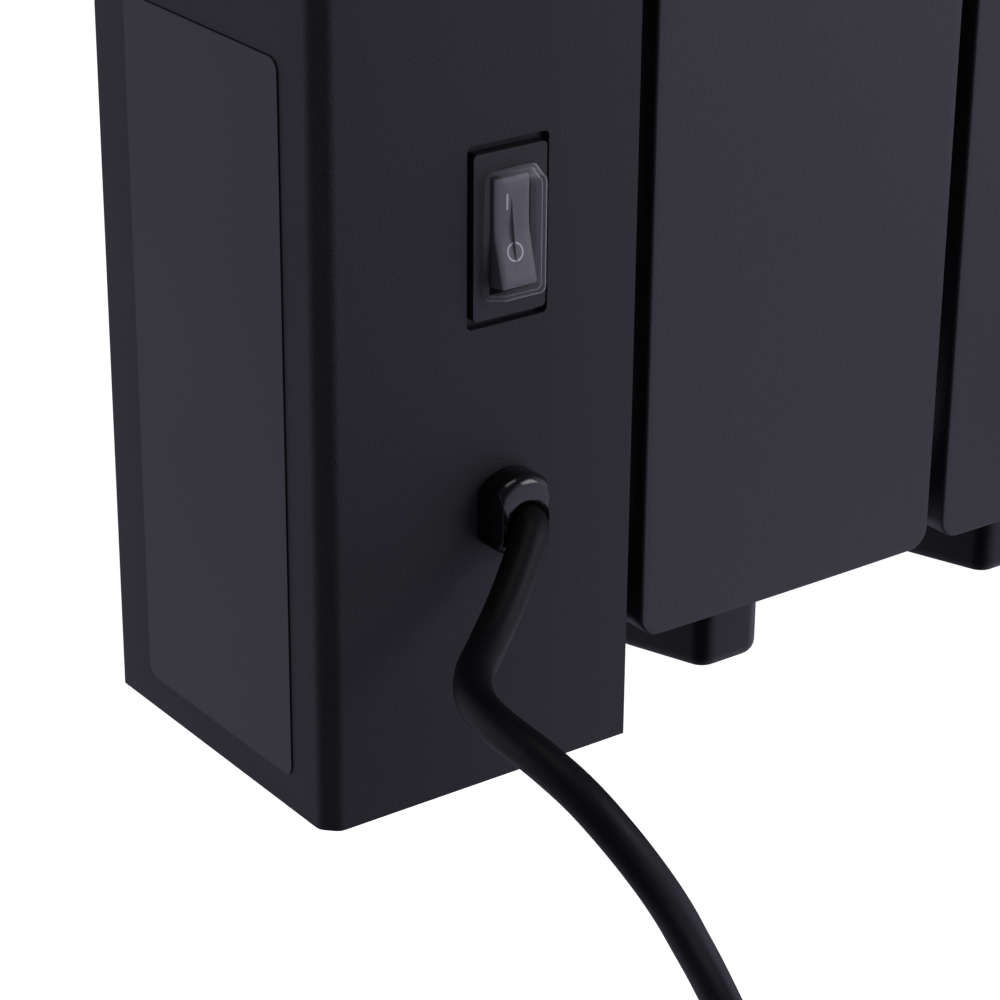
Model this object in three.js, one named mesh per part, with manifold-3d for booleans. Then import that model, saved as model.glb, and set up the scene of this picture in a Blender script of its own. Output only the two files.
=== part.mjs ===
// Oil filled radiator heater: eight upright oil vessels joined by a top and a bottom header, a flat
// panel on the front and the rear of each vessel, and a control housing on the +X end.
// Millimetres, +Z up, +Y is the rear, the part stands on z = 0 and is centred on x = 0, y = 0.
import * as THREE from "three";
import { mergeVertices } from "three/addons/utils/BufferGeometryUtils.js";
import Module from "manifold-3d";

const wasm = await Module();
wasm.setup();

// ---------------------------------------------------------------- driving dimensions
const CLEARANCE = 0.3; // between pieces that touch
const DEPTH = 76; // front panel face to rear panel face, and the housing's depth
const GROUND = 66; // floor to the underside of the housing

const HOUSING_WIDTH = 70;
const HOUSING_HEIGHT = 570;
const HOUSING_WALL = 1.5;
const HOUSING_BEVEL = 2.9; // between the end face and the rear face
const HOUSING_FRONT_BEVEL = 0.6; // between the end face and the front face

const ELEMENT_COUNT = 8;
const PANEL_WIDTH = 76;
const PANEL_GAP = 4; // between neighbouring panels
const PANEL_WALL = 1.1;
const PANEL_CROWN = 0.3; // how far the middle stands proud of the side edges
const PANEL_RETURN = 8; // depth of the folded side flanges
const PANEL_EDGE_RADIUS = 0.6;
const PANEL_CORNER_RADIUS = 4.6;
const PANEL_INSET = 19.3; // panel's lower and upper edges from the housing's underside and top

const VESSEL_WIDTH = 29; // at the middle of its depth
const VESSEL_TIP_WIDTH = 18; // across its front and its rear
const VESSEL_TIP_RADIUS = 5;
const VESSEL_SIDE_RADIUS = 10;
const VESSEL_DEPTH = 41.5;
const VESSEL_WALL = 1.2;
const VESSEL_DROP = 4.2; // the vessels' bottoms below the housing's underside
const VESSEL_TOP_INSET = 9; // the vessels' tops below the housing's top
const WEB_THICKNESS = 2;
const WEB_FOOT_WIDTH = 14;
const WEB_FOOT_THICKNESS = 1.5;
const WEB_INSET = 14; // the webs' ends from the panels' ends

const HEADER_RADIUS = 11;
const HEADER_RISE = 6; // the lower header's underside above the vessels' bottoms
const HEADER_BORE_RADIUS = 9;
const BORE_CLEARANCE = 0.6; // round what goes into the header

const END_COVER_WIDTH = 16;
const END_COVER_WALL = 1.5;
const END_COVER_BOSS_RADIUS = 8;

const PLATE_WIDTH = 52.4;
const PLATE_HEIGHT = 140.4;
const PLATE_THICKNESS = 0.5;
const PLATE_POCKET = 0.5;
const PLATE_BOTTOM = 7; // above the housing's underside
const PLATE_CORNER_RADIUS = 2.4;

const SWITCH_OFFSET = 40.5; // from the end face
const SWITCH_HEIGHT = 111.5; // above the housing's underside
const SWITCH_WINDOW_WIDTH = 18;
const SWITCH_WINDOW_HEIGHT = 34.8;
const SWITCH_BEZEL_WIDTH = 16.2;
const SWITCH_BEZEL_HEIGHT = 31.6;
const SWITCH_BEZEL_THICKNESS = 2.2;
const SWITCH_BARREL_WIDTH = 13;
const SWITCH_BARREL_HEIGHT = 27.6;
const SWITCH_BARREL_DEPTH = 17;
const SWITCH_BRACKET_WALL = 1.5;
const ROCKER_WIDTH = 8;
const ROCKER_HALF_LENGTH = 10.2;
const ROCKER_TILT = 8; // degrees, each side of the middle
const ROCKER_PIVOT_DEPTH = 2.4; // pivot behind the bezel's face
const ROCKER_RISE = 0.7; // middle of the rocker's face above the bezel's face
const ROCKER_ROOT = 4.2; // rocker's body behind the pivot
const TRUNNION_RADIUS = 1.3;
const TRUNNION_LENGTH = 0.9;
const SWITCH_PLAY = 0.45; // round the rocker and its trunnions
const COVER_WIDTH = 12.2;
const COVER_HEIGHT = 24.6;
const COVER_RISE = 4.6;
const COVER_WALL = 0.7;
const COVER_DRAFT = 1;

const GLAND_OFFSET = 42; // from the end face
const GLAND_HEIGHT = 56; // above the housing's underside
const GLAND_HEAD_RADIUS = 8.2;
const GLAND_FLAT = 6.8; // half the width across the flats
const GLAND_HEAD_RISE = 4.5;
const GLAND_NECK_RADIUS = 6.2;
const GLAND_NECK_LENGTH = 11;

const TOP_PANEL_THICKNESS = 3;
const TOP_PANEL_SKIRT = 9;
const TOP_PANEL_WALL = 2;
const WINDOW_WIDTH = 46;
const WINDOW_DEPTH = 24;
const WINDOW_THICKNESS = 1.5;
const WINDOW_PLACE = 12; // display's middle behind the housing's middle
const BUTTON_WIDTH = 11;
const BUTTON_DEPTH = 8;
const BUTTON_PITCH = 14;
const BUTTON_PLACE = -20;
const BUTTON_RISE = 0.8;
const BUTTON_PLAY = 0.4;
const BUTTON_TRAVEL = 0.8;
const BUTTON_STEM_RADIUS = 1.6;

const BOARD_DROP = 14; // control board below the top panel's face
const BOARD_THICKNESS = 1.6;
const TACT_SIZE = 6;
const TACT_HEIGHT = 3.4;
const BASE_THICKNESS = 2;
const BASE_SLOTS = 4;

const ELEMENT_ROD_RADIUS = 3.2;
const ELEMENT_ROD_SPREAD = 4.6; // each rod from the header's axis
const FLANGE_ACROSS = 27; // hexagon across its flats
const FLANGE_THICKNESS = 5;
const NECK_LENGTH = 15;

const FOOT_GAPS = [3, 6]; // a foot hangs between element n and n + 1
const FOOT_LENGTH = 236;
const FOOT_WIDTH = 34;
const FOOT_WALL = 2;
const FOOT_CHANNEL = 16; // height of the channel
const WHEEL_RADIUS = 21;
const WHEEL_WIDTH = 24;
const WHEEL_SIDES = 18; // flats round the tread, one of them on the floor
const WHEEL_INSET = 24; // wheel axles from the foot's ends
const WHEEL_DISH = 3; // half the thickness of the web between hub and rim
const AXLE_RADIUS = 3;
const CHEEK_RADIUS = 9;
const CLAMP_WIDTH = 18;
const CLAMP_WALL = 2;
const CLAMP_LEG = 13;
const CLAMP_HOOK = 5;
const CLAMP_NUT = 7;
const SCREW_RADIUS = 2.8;
const SCREW_HEAD_RADIUS = 7.4;
const SCREW_HEAD_HEIGHT = 8;

const CORD_RADIUS = 3.6;
const COIL_OUTER_TURN = 43.6; // radius at the middle of the outer turns
const COIL_TURNS_WIDE = 2;
const COIL_TURNS_HIGH = 3;
const COIL_LIFT = 1.6; // the tie passes under the coil
const TIE_WIDTH = 9;
const TIE_WALL = 1.2;

// ---------------------------------------------------------------- places worked out from them
const PITCH = PANEL_WIDTH + PANEL_GAP;
const PLATE_PROUD = PLATE_THICKNESS + CLEARANCE - PLATE_POCKET;
const TOTAL_WIDTH = HOUSING_WIDTH + PANEL_GAP + ELEMENT_COUNT * PITCH + END_COVER_WIDTH;
const END_FACE = (TOTAL_WIDTH - PLATE_PROUD) / 2; // x of the housing's end face
const INNER_FACE = END_FACE - HOUSING_WIDTH; // x of the housing's side towards the elements
const FAR_FACE = END_FACE - TOTAL_WIDTH; // x of the far end cover's face
const REAR = DEPTH / 2; // y of the rear face
const TOP = GROUND + HOUSING_HEIGHT;
const HEADER_BOTTOM = GROUND - VESSEL_DROP + HEADER_RISE + HEADER_RADIUS;
const HEADER_TOP = TOP - VESSEL_TOP_INSET - HEADER_RADIUS;
const SWITCH_X = END_FACE - SWITCH_OFFSET;
const SWITCH_Z = GROUND + SWITCH_HEIGHT;
const GLAND_X = END_FACE - GLAND_OFFSET;
const GLAND_Z = GROUND + GLAND_HEIGHT;
const GLAND_BORE_RADIUS = CORD_RADIUS + CLEARANCE;
const COVER_PLATE_X = INNER_FACE + HOUSING_WALL; // inner side of the housing's inner cover

const elementX = (i) => INNER_FACE - PANEL_GAP - PANEL_WIDTH / 2 - i * PITCH;

// ---------------------------------------------------------------- materials
const paint = (color, roughness, metalness = 0) =>
  new THREE.MeshStandardMaterial({ color, roughness, metalness });
const housingPaint = paint(0x1d1d22, 0.62);
const panelPaint = paint(0x25252b, 0.5);
const vesselPaint = paint(0x131316, 0.38);
const plateFilm = paint(0x2a2a31, 0.5);
const blackPlastic = paint(0x101012, 0.35);
const greyPlastic = paint(0x3a3a3f, 0.45);
const clearPlastic = paint(0x9a9aa2, 0.1);
const rubber = paint(0x0d0d0e, 0.6);
const darkGlass = paint(0x050506, 0.08);
const boardGreen = paint(0x1d5a35, 0.6);
const zinc = paint(0xb4b6ba, 0.35, 1);
const copper = paint(0xa86a45, 0.35, 1);

// ---------------------------------------------------------------- solids
// A closed geometry as a manifold solid.
function solid(geometry) {
  const bare = geometry.index ? geometry.toNonIndexed() : geometry.clone();
  bare.deleteAttribute("normal");
  bare.deleteAttribute("uv");
  const merged = mergeVertices(bare, 1e-4);
  return new wasm.Manifold(
    new wasm.Mesh({
      numProp: 3,
      vertProperties: new Float32Array(merged.attributes.position.array),
      triVerts: new Uint32Array(merged.index.array),
    }),
  );
}

// A manifold solid as a geometry.
function geometryOf(body) {
  const mesh = body.getMesh();
  return new THREE.BufferGeometry()
    .setAttribute("position", new THREE.BufferAttribute(mesh.vertProperties, 3))
    .setIndex(new THREE.BufferAttribute(mesh.triVerts, 1));
}

const union = (first, ...rest) => rest.reduce((a, b) => a.add(b), first);
const cut = (first, ...rest) => rest.reduce((a, b) => a.subtract(b), first);

// A box from its lowest to its highest corner.
function box(x0, x1, y0, y1, z0, z1) {
  const g = new THREE.BoxGeometry(x1 - x0, y1 - y0, z1 - z0);
  return solid(g.translate((x0 + x1) / 2, (y0 + y1) / 2, (z0 + z1) / 2));
}

// A cylinder from z = 0 to its length, turned to run along +X, +Y or +Z, then moved to a place.
function rod(axis, radius, length, place, segments = 20, endRadius = radius) {
  const g = new THREE.CylinderGeometry(endRadius, radius, length, segments);
  g.translate(0, length / 2, 0);
  if (axis === "x") g.rotateZ(-Math.PI / 2);
  if (axis === "z") g.rotateX(Math.PI / 2);
  return solid(g.translate(...place));
}

// A flat outline in (a, b) extruded by a length: "x" lays it in the YZ plane and extrudes along +X,
// "y" lays it in the XZ plane and extrudes along -Y, "z" lays it in the XY plane and extrudes along +Z.
function prism(axis, shape, length, place, curveSegments = 6) {
  const g = new THREE.ExtrudeGeometry(shape, { depth: length, bevelEnabled: false, curveSegments });
  if (axis === "x") g.rotateX(Math.PI / 2).rotateZ(Math.PI / 2);
  if (axis === "y") g.rotateX(Math.PI / 2);
  return solid(g.translate(...place));
}

// A rectangle with round corners, centred on the origin.
function roundedRect(width, height, radius) {
  const a = width / 2;
  const b = height / 2;
  const s = new THREE.Shape();
  s.moveTo(a, b - radius);
  s.absarc(a - radius, b - radius, radius, 0, Math.PI / 2, false);
  s.absarc(-a + radius, b - radius, radius, Math.PI / 2, Math.PI, false);
  s.absarc(-a + radius, -b + radius, radius, Math.PI, 1.5 * Math.PI, false);
  s.absarc(a - radius, -b + radius, radius, 1.5 * Math.PI, 2 * Math.PI, false);
  s.closePath();
  return s;
}

// A regular hexagon by its distance across flats.
function hexagon(acrossFlats) {
  const points = [];
  for (let i = 0; i < 6; i++) {
    const angle = (i * Math.PI) / 3;
    const radius = acrossFlats / Math.sqrt(3);
    points.push(new THREE.Vector2(radius * Math.cos(angle), radius * Math.sin(angle)));
  }
  return new THREE.Shape(points);
}

const root = new THREE.Group();

// A named mesh in the root group, or in the group given.
function add(name, geometry, material, parent = root) {
  const mesh = new THREE.Mesh(geometry.isBufferGeometry ? geometry : geometryOf(geometry), material);
  mesh.name = name;
  parent.add(mesh);
  return mesh;
}

// ---------------------------------------------------------------- oil vessels
// Circles that a vessel's section wraps: one in each corner and one at the middle of each side.
const vesselCircles = [
  [VESSEL_WIDTH / 2 - VESSEL_SIDE_RADIUS, 0, VESSEL_SIDE_RADIUS],
  [VESSEL_TIP_WIDTH / 2 - VESSEL_TIP_RADIUS, VESSEL_DEPTH / 2 - VESSEL_TIP_RADIUS, VESSEL_TIP_RADIUS],
];

// Section of a vessel: the outline wrapped tightly round its circles, moved inwards by the inset.
function vesselSection(inset) {
  const points = [];
  for (const [x, y, radius] of vesselCircles) {
    for (let k = 0; k < 32; k++) {
      const a = (k * Math.PI) / 16;
      const px = x + (radius - inset) * Math.cos(a);
      const py = y + (radius - inset) * Math.sin(a);
      points.push([px, py], [-px, py], [px, -py], [-px, -py]);
    }
  }
  points.sort((p, q) => p[0] - q[0] || p[1] - q[1]);
  const turn = (o, p, q) => (p[0] - o[0]) * (q[1] - o[1]) - (p[1] - o[1]) * (q[0] - o[0]);
  const chain = (list) => {
    const kept = [];
    for (const p of list) {
      while (kept.length > 1 && turn(kept.at(-2), kept.at(-1), p) < 0.02) kept.pop();
      kept.push(p);
    }
    return kept.slice(0, -1);
  };
  const lower = chain(points);
  const upper = chain(points.reverse());
  return new THREE.Shape([...lower, ...upper].map(([x, y]) => new THREE.Vector2(x, y)));
}

const vesselBottom = GROUND - VESSEL_DROP;
const vesselTop = TOP - VESSEL_TOP_INSET;
const panelBottom = GROUND + PANEL_INSET;
const panelTop = TOP - PANEL_INSET;
const webFootFace = REAR - PANEL_WALL - PANEL_CROWN * (WEB_FOOT_WIDTH / PANEL_WIDTH) ** 2 - CLEARANCE;
const VESSEL_END_ROUND = 3;

// The body with rounded ends: an extrusion whose bevels are the end rounds.
function vesselBody() {
  const g = new THREE.ExtrudeGeometry(vesselSection(VESSEL_END_ROUND), {
    depth: vesselTop - vesselBottom - 2 * VESSEL_END_ROUND,
    bevelThickness: VESSEL_END_ROUND,
    bevelSize: VESSEL_END_ROUND,
    bevelSegments: 1,
    curveSegments: 3,
  });
  return solid(g.translate(0, 0, vesselBottom + VESSEL_END_ROUND));
}

// A T-shaped web on the side of the vessel, along the panel that it carries.
function web(side) {
  const length = panelTop - panelBottom - 2 * WEB_INSET;
  const half = WEB_THICKNESS / 2;
  const footBack = webFootFace - WEB_FOOT_THICKNESS;
  const outline = new THREE.Shape([
    new THREE.Vector2(-half, 0),
    new THREE.Vector2(half, 0),
    new THREE.Vector2(half, footBack),
    new THREE.Vector2(WEB_FOOT_WIDTH / 2, footBack),
    new THREE.Vector2(WEB_FOOT_WIDTH / 2, webFootFace),
    new THREE.Vector2(-WEB_FOOT_WIDTH / 2, webFootFace),
    new THREE.Vector2(-WEB_FOOT_WIDTH / 2, footBack),
    new THREE.Vector2(-half, footBack),
  ]);
  const g = new THREE.ExtrudeGeometry(outline, { depth: length, bevelEnabled: false });
  if (side < 0) g.rotateZ(Math.PI);
  return solid(g.translate(0, 0, panelBottom + WEB_INSET));
}

const cavity = prism(
  "z",
  vesselSection(VESSEL_WALL),
  vesselTop - vesselBottom - 4 * VESSEL_WALL,
  [0, 0, vesselBottom + 2 * VESSEL_WALL],
  2,
);
const halfCollar = PITCH / 2 - CLEARANCE / 2;
const nearStub = PITCH / 2 + PANEL_GAP / 2 - CLEARANCE; // reaches the housing's inner cover
const farStub = nearStub + END_COVER_WIDTH - END_COVER_WALL; // reaches into the end cover
const PLUG_HEAD = 6;
const FAR_BOTTOM_STUB = farStub - PLUG_HEAD - 2 * CLEARANCE;

for (let i = 0; i < ELEMENT_COUNT; i++) {
  const first = i === 0;
  const last = i === ELEMENT_COUNT - 1;
  const near = first ? nearStub : halfCollar;
  const farTop = last ? farStub : halfCollar;
  const farBottom = last ? FAR_BOTTOM_STUB : halfCollar;
  const blind = VESSEL_WIDTH / 2 - VESSEL_WALL; // a bore that ends inside the vessel
  const outer = union(
    vesselBody(),
    web(1),
    web(-1),
    rod("x", HEADER_RADIUS, near + farBottom, [-farBottom, 0, HEADER_BOTTOM], 12),
    rod("x", HEADER_RADIUS, near + farTop, [-farTop, 0, HEADER_TOP], 12),
  );
  const nearTopBore = first ? blind : near + 1;
  const farTopBore = last ? blind : farTop + 1;
  const body = cut(
    outer,
    cavity,
    rod("x", HEADER_BORE_RADIUS, near + farBottom + 2, [-farBottom - 1, 0, HEADER_BOTTOM], 12),
    rod("x", HEADER_BORE_RADIUS, nearTopBore + farTopBore, [-farTopBore, 0, HEADER_TOP], 12),
  );
  add(`oil_vessel_${i + 1}`, body, vesselPaint).position.x = elementX(i);
}

// ---------------------------------------------------------------- panels
// Section of a panel in the XY plane: a shallow crown with folded side flanges.
function panelSection() {
  const half = PANEL_WIDTH / 2;
  const sideY = REAR - PANEL_CROWN;
  const steps = 6;
  const crown = (x) => REAR - PANEL_CROWN * (x / half) ** 2;
  const outer = [];
  const inner = [];
  const fold = PANEL_EDGE_RADIUS;
  for (let k = 0; k <= steps; k++) {
    const x = (half - fold) * (1 - (2 * k) / steps);
    outer.push(new THREE.Vector2(x, crown(x)));
  }
  for (let k = steps; k >= 0; k--) {
    const x = (half - fold) * (1 - (2 * k) / steps);
    inner.push(new THREE.Vector2(x, crown(x) - PANEL_WALL));
  }
  const corner = (side, radius, count) =>
    Array.from({ length: count }, (_, k) => {
      const a = (Math.PI / 2) * ((k + 1) / (count + 1));
      const r = new THREE.Vector2(Math.cos(a) * radius, Math.sin(a) * radius);
      return new THREE.Vector2(side * (half - fold + r.x), sideY - fold + r.y);
    });
  const backY = sideY - PANEL_RETURN;
  const right = corner(1, fold, 1);
  const left = corner(-1, fold, 1).reverse();
  return new THREE.Shape([
    new THREE.Vector2(half, backY),
    new THREE.Vector2(half, sideY - fold),
    ...right,
    ...outer,
    ...left,
    new THREE.Vector2(-half, sideY - fold),
    new THREE.Vector2(-half, backY),
    new THREE.Vector2(-half + PANEL_WALL, backY),
    new THREE.Vector2(-half + PANEL_WALL, sideY - PANEL_WALL),
    ...inner.slice(1, -1),
    new THREE.Vector2(half - PANEL_WALL, sideY - PANEL_WALL),
    new THREE.Vector2(half - PANEL_WALL, backY),
  ]);
}

const panelHeight = panelTop - panelBottom;
const panelBody = prism("z", panelSection(), panelHeight, [0, 0, panelBottom]).intersect(
  prism(
    "y",
    roundedRect(PANEL_WIDTH, panelHeight, PANEL_CORNER_RADIUS),
    DEPTH,
    [0, DEPTH, (panelTop + panelBottom) / 2],
    3,
  ),
);
const panelGeometry = geometryOf(panelBody);
for (let i = 0; i < ELEMENT_COUNT; i++) {
  add(`rear_panel_${i + 1}`, panelGeometry, panelPaint).position.x = elementX(i);
  const front = add(`front_panel_${i + 1}`, panelGeometry, panelPaint);
  front.position.x = elementX(i);
  front.rotation.z = Math.PI;
}

// ---------------------------------------------------------------- control housing
// Section of the wrap in the XY plane: end face, bevels, and the front and rear faces.
function wrapSection() {
  const w = HOUSING_WALL;
  const b = HOUSING_BEVEL;
  const bi = b - w * (2 - Math.SQRT2); // the bevel's run on the inner side
  const points = [
    [INNER_FACE, REAR],
    [END_FACE - b, REAR],
    [END_FACE, REAR - b],
    [END_FACE, -REAR + HOUSING_FRONT_BEVEL],
    [END_FACE - HOUSING_FRONT_BEVEL, -REAR],
    [INNER_FACE, -REAR],
    [INNER_FACE, -REAR + w],
    [END_FACE - w, -REAR + w],
    [END_FACE - w, REAR - w - bi],
    [END_FACE - w - bi, REAR - w],
    [INNER_FACE, REAR - w],
  ];
  return new THREE.Shape(points.reverse().map(([x, y]) => new THREE.Vector2(x, y)));
}

const plateZ = GROUND + PLATE_BOTTOM + PLATE_HEIGHT / 2;
const shell = cut(
  prism("z", wrapSection(), HOUSING_HEIGHT, [0, 0, GROUND]),
  prism(
    "x",
    roundedRect(PLATE_WIDTH + 2 * CLEARANCE, PLATE_HEIGHT + 2 * CLEARANCE, PLATE_CORNER_RADIUS + CLEARANCE),
    PLATE_POCKET + 1,
    [END_FACE - PLATE_POCKET, 0, plateZ],
    4,
  ),
  prism(
    "y",
    roundedRect(SWITCH_WINDOW_WIDTH, SWITCH_WINDOW_HEIGHT, 0.8),
    3 * HOUSING_WALL,
    [SWITCH_X, REAR + HOUSING_WALL, SWITCH_Z],
    2,
  ),
  rod("y", GLAND_NECK_RADIUS + CLEARANCE, 3 * HOUSING_WALL, [GLAND_X, REAR - 2 * HOUSING_WALL, GLAND_Z], 16),
);
add("housing_shell", shell, housingPaint);

add(
  "rating_plate",
  prism(
    "x",
    roundedRect(PLATE_WIDTH, PLATE_HEIGHT, PLATE_CORNER_RADIUS),
    PLATE_THICKNESS,
    [END_FACE - PLATE_POCKET + CLEARANCE, 0, plateZ],
    4,
  ),
  plateFilm,
);

const innerY = REAR - HOUSING_WALL - CLEARANCE; // where a piece inside the wrap ends
const coverBottom = GROUND + BASE_THICKNESS + CLEARANCE;
const coverTop = TOP - TOP_PANEL_THICKNESS - CLEARANCE;
add(
  "housing_inner_cover",
  cut(
    box(INNER_FACE, COVER_PLATE_X, -innerY, innerY, coverBottom, coverTop),
    rod("x", HEADER_BORE_RADIUS + CLEARANCE, 3 * HOUSING_WALL, [INNER_FACE - HOUSING_WALL, 0, HEADER_BOTTOM], 16),
  ),
  housingPaint,
);

const wrapInside = END_FACE - HOUSING_WALL - CLEARANCE;
const slots = [];
const SLOT_LENGTH = 36;
const SLOT_WIDTH = 3;
const SLOT_PITCH = 11;
for (let i = 0; i < BASE_SLOTS; i++) {
  const x = END_FACE - HOUSING_WIDTH / 2 + (i - (BASE_SLOTS - 1) / 2) * SLOT_PITCH;
  slots.push(box(x - SLOT_WIDTH / 2, x + SLOT_WIDTH / 2, -SLOT_LENGTH / 2, SLOT_LENGTH / 2, GROUND - 1, TOP));
}
const cornerCut = HOUSING_BEVEL;
const baseOutline = new THREE.Shape(
  [
    [INNER_FACE, -innerY],
    [wrapInside, -innerY],
    [wrapInside, innerY - cornerCut],
    [wrapInside - cornerCut, innerY],
    [INNER_FACE, innerY],
  ].map(([x, y]) => new THREE.Vector2(x, y)),
);
const flangeNotch = box(
  INNER_FACE - 1,
  COVER_PLATE_X + 2 * CLEARANCE + FLANGE_THICKNESS,
  -FLANGE_ACROSS / Math.sqrt(3) - CLEARANCE,
  FLANGE_ACROSS / Math.sqrt(3) + CLEARANCE,
  GROUND - 1,
  GROUND + BASE_THICKNESS + 1,
);
add(
  "housing_base",
  cut(prism("z", baseOutline, BASE_THICKNESS, [0, 0, GROUND]), flangeNotch, ...slots),
  blackPlastic,
);

// ---------------------------------------------------------------- controls on top
const topInside = TOP - TOP_PANEL_THICKNESS;
const panelMiddleX = END_FACE - HOUSING_WIDTH / 2;
const skirtX0 = COVER_PLATE_X + CLEARANCE;
const skirtX1 = wrapInside - cornerCut;
const skirtY = innerY - cornerCut;
const buttonNames = ["button_power", "button_mode", "button_minus", "button_plus"];
const buttonX = (i) => panelMiddleX + ((buttonNames.length - 1) / 2 - i) * BUTTON_PITCH;
const buttonHole = (x, extra) =>
  prism(
    "z",
    roundedRect(BUTTON_WIDTH + 2 * extra, BUTTON_DEPTH + 2 * extra, 2 + extra),
    TOP_PANEL_THICKNESS + 2,
    [x, BUTTON_PLACE, topInside - 1],
    2,
  );
const skirt = cut(
  box(skirtX0, skirtX1, -skirtY, skirtY, topInside - TOP_PANEL_SKIRT, topInside + 1),
  box(
    skirtX0 + TOP_PANEL_WALL,
    skirtX1 - TOP_PANEL_WALL,
    -skirtY + TOP_PANEL_WALL,
    skirtY - TOP_PANEL_WALL,
    topInside - TOP_PANEL_SKIRT - 1,
    TOP,
  ),
);
const windowHole = prism(
  "z",
  roundedRect(WINDOW_WIDTH + 2 * CLEARANCE, WINDOW_DEPTH + 2 * CLEARANCE, 2.3),
  WINDOW_THICKNESS + CLEARANCE + 1,
  [panelMiddleX, WINDOW_PLACE, TOP - WINDOW_THICKNESS - CLEARANCE],
  3,
);
const WINDOW_LEDGE = 3;
const windowOpening = box(
  panelMiddleX - WINDOW_WIDTH / 2 + WINDOW_LEDGE,
  panelMiddleX + WINDOW_WIDTH / 2 - WINDOW_LEDGE,
  WINDOW_PLACE - WINDOW_DEPTH / 2 + WINDOW_LEDGE,
  WINDOW_PLACE + WINDOW_DEPTH / 2 - WINDOW_LEDGE,
  topInside - 1,
  TOP,
);
add(
  "control_panel",
  cut(
    union(prism("z", baseOutline, TOP_PANEL_THICKNESS, [0, 0, topInside]), skirt),
    windowHole,
    windowOpening,
    ...buttonNames.map((_, i) => buttonHole(buttonX(i), BUTTON_PLAY)),
  ),
  blackPlastic,
);
add(
  "display_window",
  prism(
    "z",
    roundedRect(WINDOW_WIDTH, WINDOW_DEPTH, 2),
    WINDOW_THICKNESS,
    [panelMiddleX, WINDOW_PLACE, TOP - WINDOW_THICKNESS],
    3,
  ),
  darkGlass,
);

const boardTop = TOP - BOARD_DROP;
const tactTop = boardTop + TACT_HEIGHT;
const stemBottom = tactTop + BUTTON_TRAVEL + CLEARANCE;
const BUTTON_FLANGE = 1; // wider rim that keeps the button in the panel
buttonNames.forEach((name, i) => {
  const capBottom = topInside - CLEARANCE - 1;
  const cap = prism(
    "z",
    roundedRect(BUTTON_WIDTH, BUTTON_DEPTH, 2),
    TOP + BUTTON_RISE - capBottom,
    [buttonX(i), BUTTON_PLACE, capBottom],
    2,
  );
  const rim = box(
    buttonX(i) - BUTTON_WIDTH / 2 - BUTTON_FLANGE,
    buttonX(i) + BUTTON_WIDTH / 2 + BUTTON_FLANGE,
    BUTTON_PLACE - BUTTON_DEPTH / 2 - BUTTON_FLANGE,
    BUTTON_PLACE + BUTTON_DEPTH / 2 + BUTTON_FLANGE,
    capBottom,
    capBottom + 1,
  );
  const stem = rod("z", BUTTON_STEM_RADIUS, capBottom - stemBottom, [buttonX(i), BUTTON_PLACE, stemBottom], 8);
  add(name, union(cap, rim, stem), greyPlastic);
});

// ---------------------------------------------------------------- board and electrical parts inside
const boardX0 = skirtX0 + 1;
const boardX1 = skirtX1 - 1;
const tacts = buttonNames.map((_, i) =>
  box(
    buttonX(i) - TACT_SIZE / 2,
    buttonX(i) + TACT_SIZE / 2,
    BUTTON_PLACE - TACT_SIZE / 2,
    BUTTON_PLACE + TACT_SIZE / 2,
    boardTop - 1,
    tactTop,
  ),
);
const displayModule = box(
  panelMiddleX - WINDOW_WIDTH / 2 + WINDOW_LEDGE + CLEARANCE,
  panelMiddleX + WINDOW_WIDTH / 2 - WINDOW_LEDGE - CLEARANCE,
  WINDOW_PLACE - WINDOW_DEPTH / 2 + WINDOW_LEDGE + CLEARANCE,
  WINDOW_PLACE + WINDOW_DEPTH / 2 - WINDOW_LEDGE - CLEARANCE,
  boardTop - 1,
  TOP - WINDOW_THICKNESS - 2 * CLEARANCE,
);
const RELAY = { width: 16, depth: 20, height: 15 };
const relay = box(
  panelMiddleX - RELAY.width / 2,
  panelMiddleX + RELAY.width / 2,
  -RELAY.depth / 2,
  RELAY.depth / 2,
  boardTop - BOARD_THICKNESS - RELAY.height,
  boardTop - 1,
);
add(
  "control_board",
  union(
    box(boardX0, boardX1, -skirtY + 1, skirtY - 1, boardTop - BOARD_THICKNESS, boardTop),
    displayModule,
    relay,
    ...tacts,
  ),
  boardGreen,
);

const insideX = COVER_PLATE_X + CLEARANCE; // pieces mounted on the housing's inner cover start here
const TERMINAL = { depth: 44, height: 18, rise: 16, z: GROUND + 96, ways: 4, screw: 3 };
const terminalScrews = Array.from({ length: TERMINAL.ways }, (_, i) =>
  rod(
    "x",
    TERMINAL.screw,
    TERMINAL.rise,
    [insideX + TERMINAL.rise / 2, (i - (TERMINAL.ways - 1) / 2) * 10, TERMINAL.z],
    8,
  ),
);
add(
  "terminal_block",
  cut(
    box(
      insideX,
      insideX + TERMINAL.rise,
      -TERMINAL.depth / 2,
      TERMINAL.depth / 2,
      TERMINAL.z - TERMINAL.height / 2,
      TERMINAL.z + TERMINAL.height / 2,
    ),
    ...terminalScrews,
  ),
  blackPlastic,
);
const CUTOUT = { radius: 8, cap: 6, rise: 7, tab: 10, z: HEADER_BOTTOM + 38 };
add(
  "thermal_cutout",
  union(
    rod("x", CUTOUT.radius, CUTOUT.rise, [insideX, 0, CUTOUT.z], 16),
    rod("x", CUTOUT.cap, CUTOUT.tab, [insideX, 0, CUTOUT.z], 12),
  ),
  zinc,
);
const TILT = { width: 16, depth: 22, height: 24, x: END_FACE - 24, y: -18 };
add(
  "tilt_switch",
  box(
    TILT.x - TILT.width / 2,
    TILT.x + TILT.width / 2,
    TILT.y - TILT.depth / 2,
    TILT.y + TILT.depth / 2,
    GROUND + BASE_THICKNESS + CLEARANCE,
    GROUND + BASE_THICKNESS + CLEARANCE + TILT.height,
  ),
  greyPlastic,
);

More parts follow.
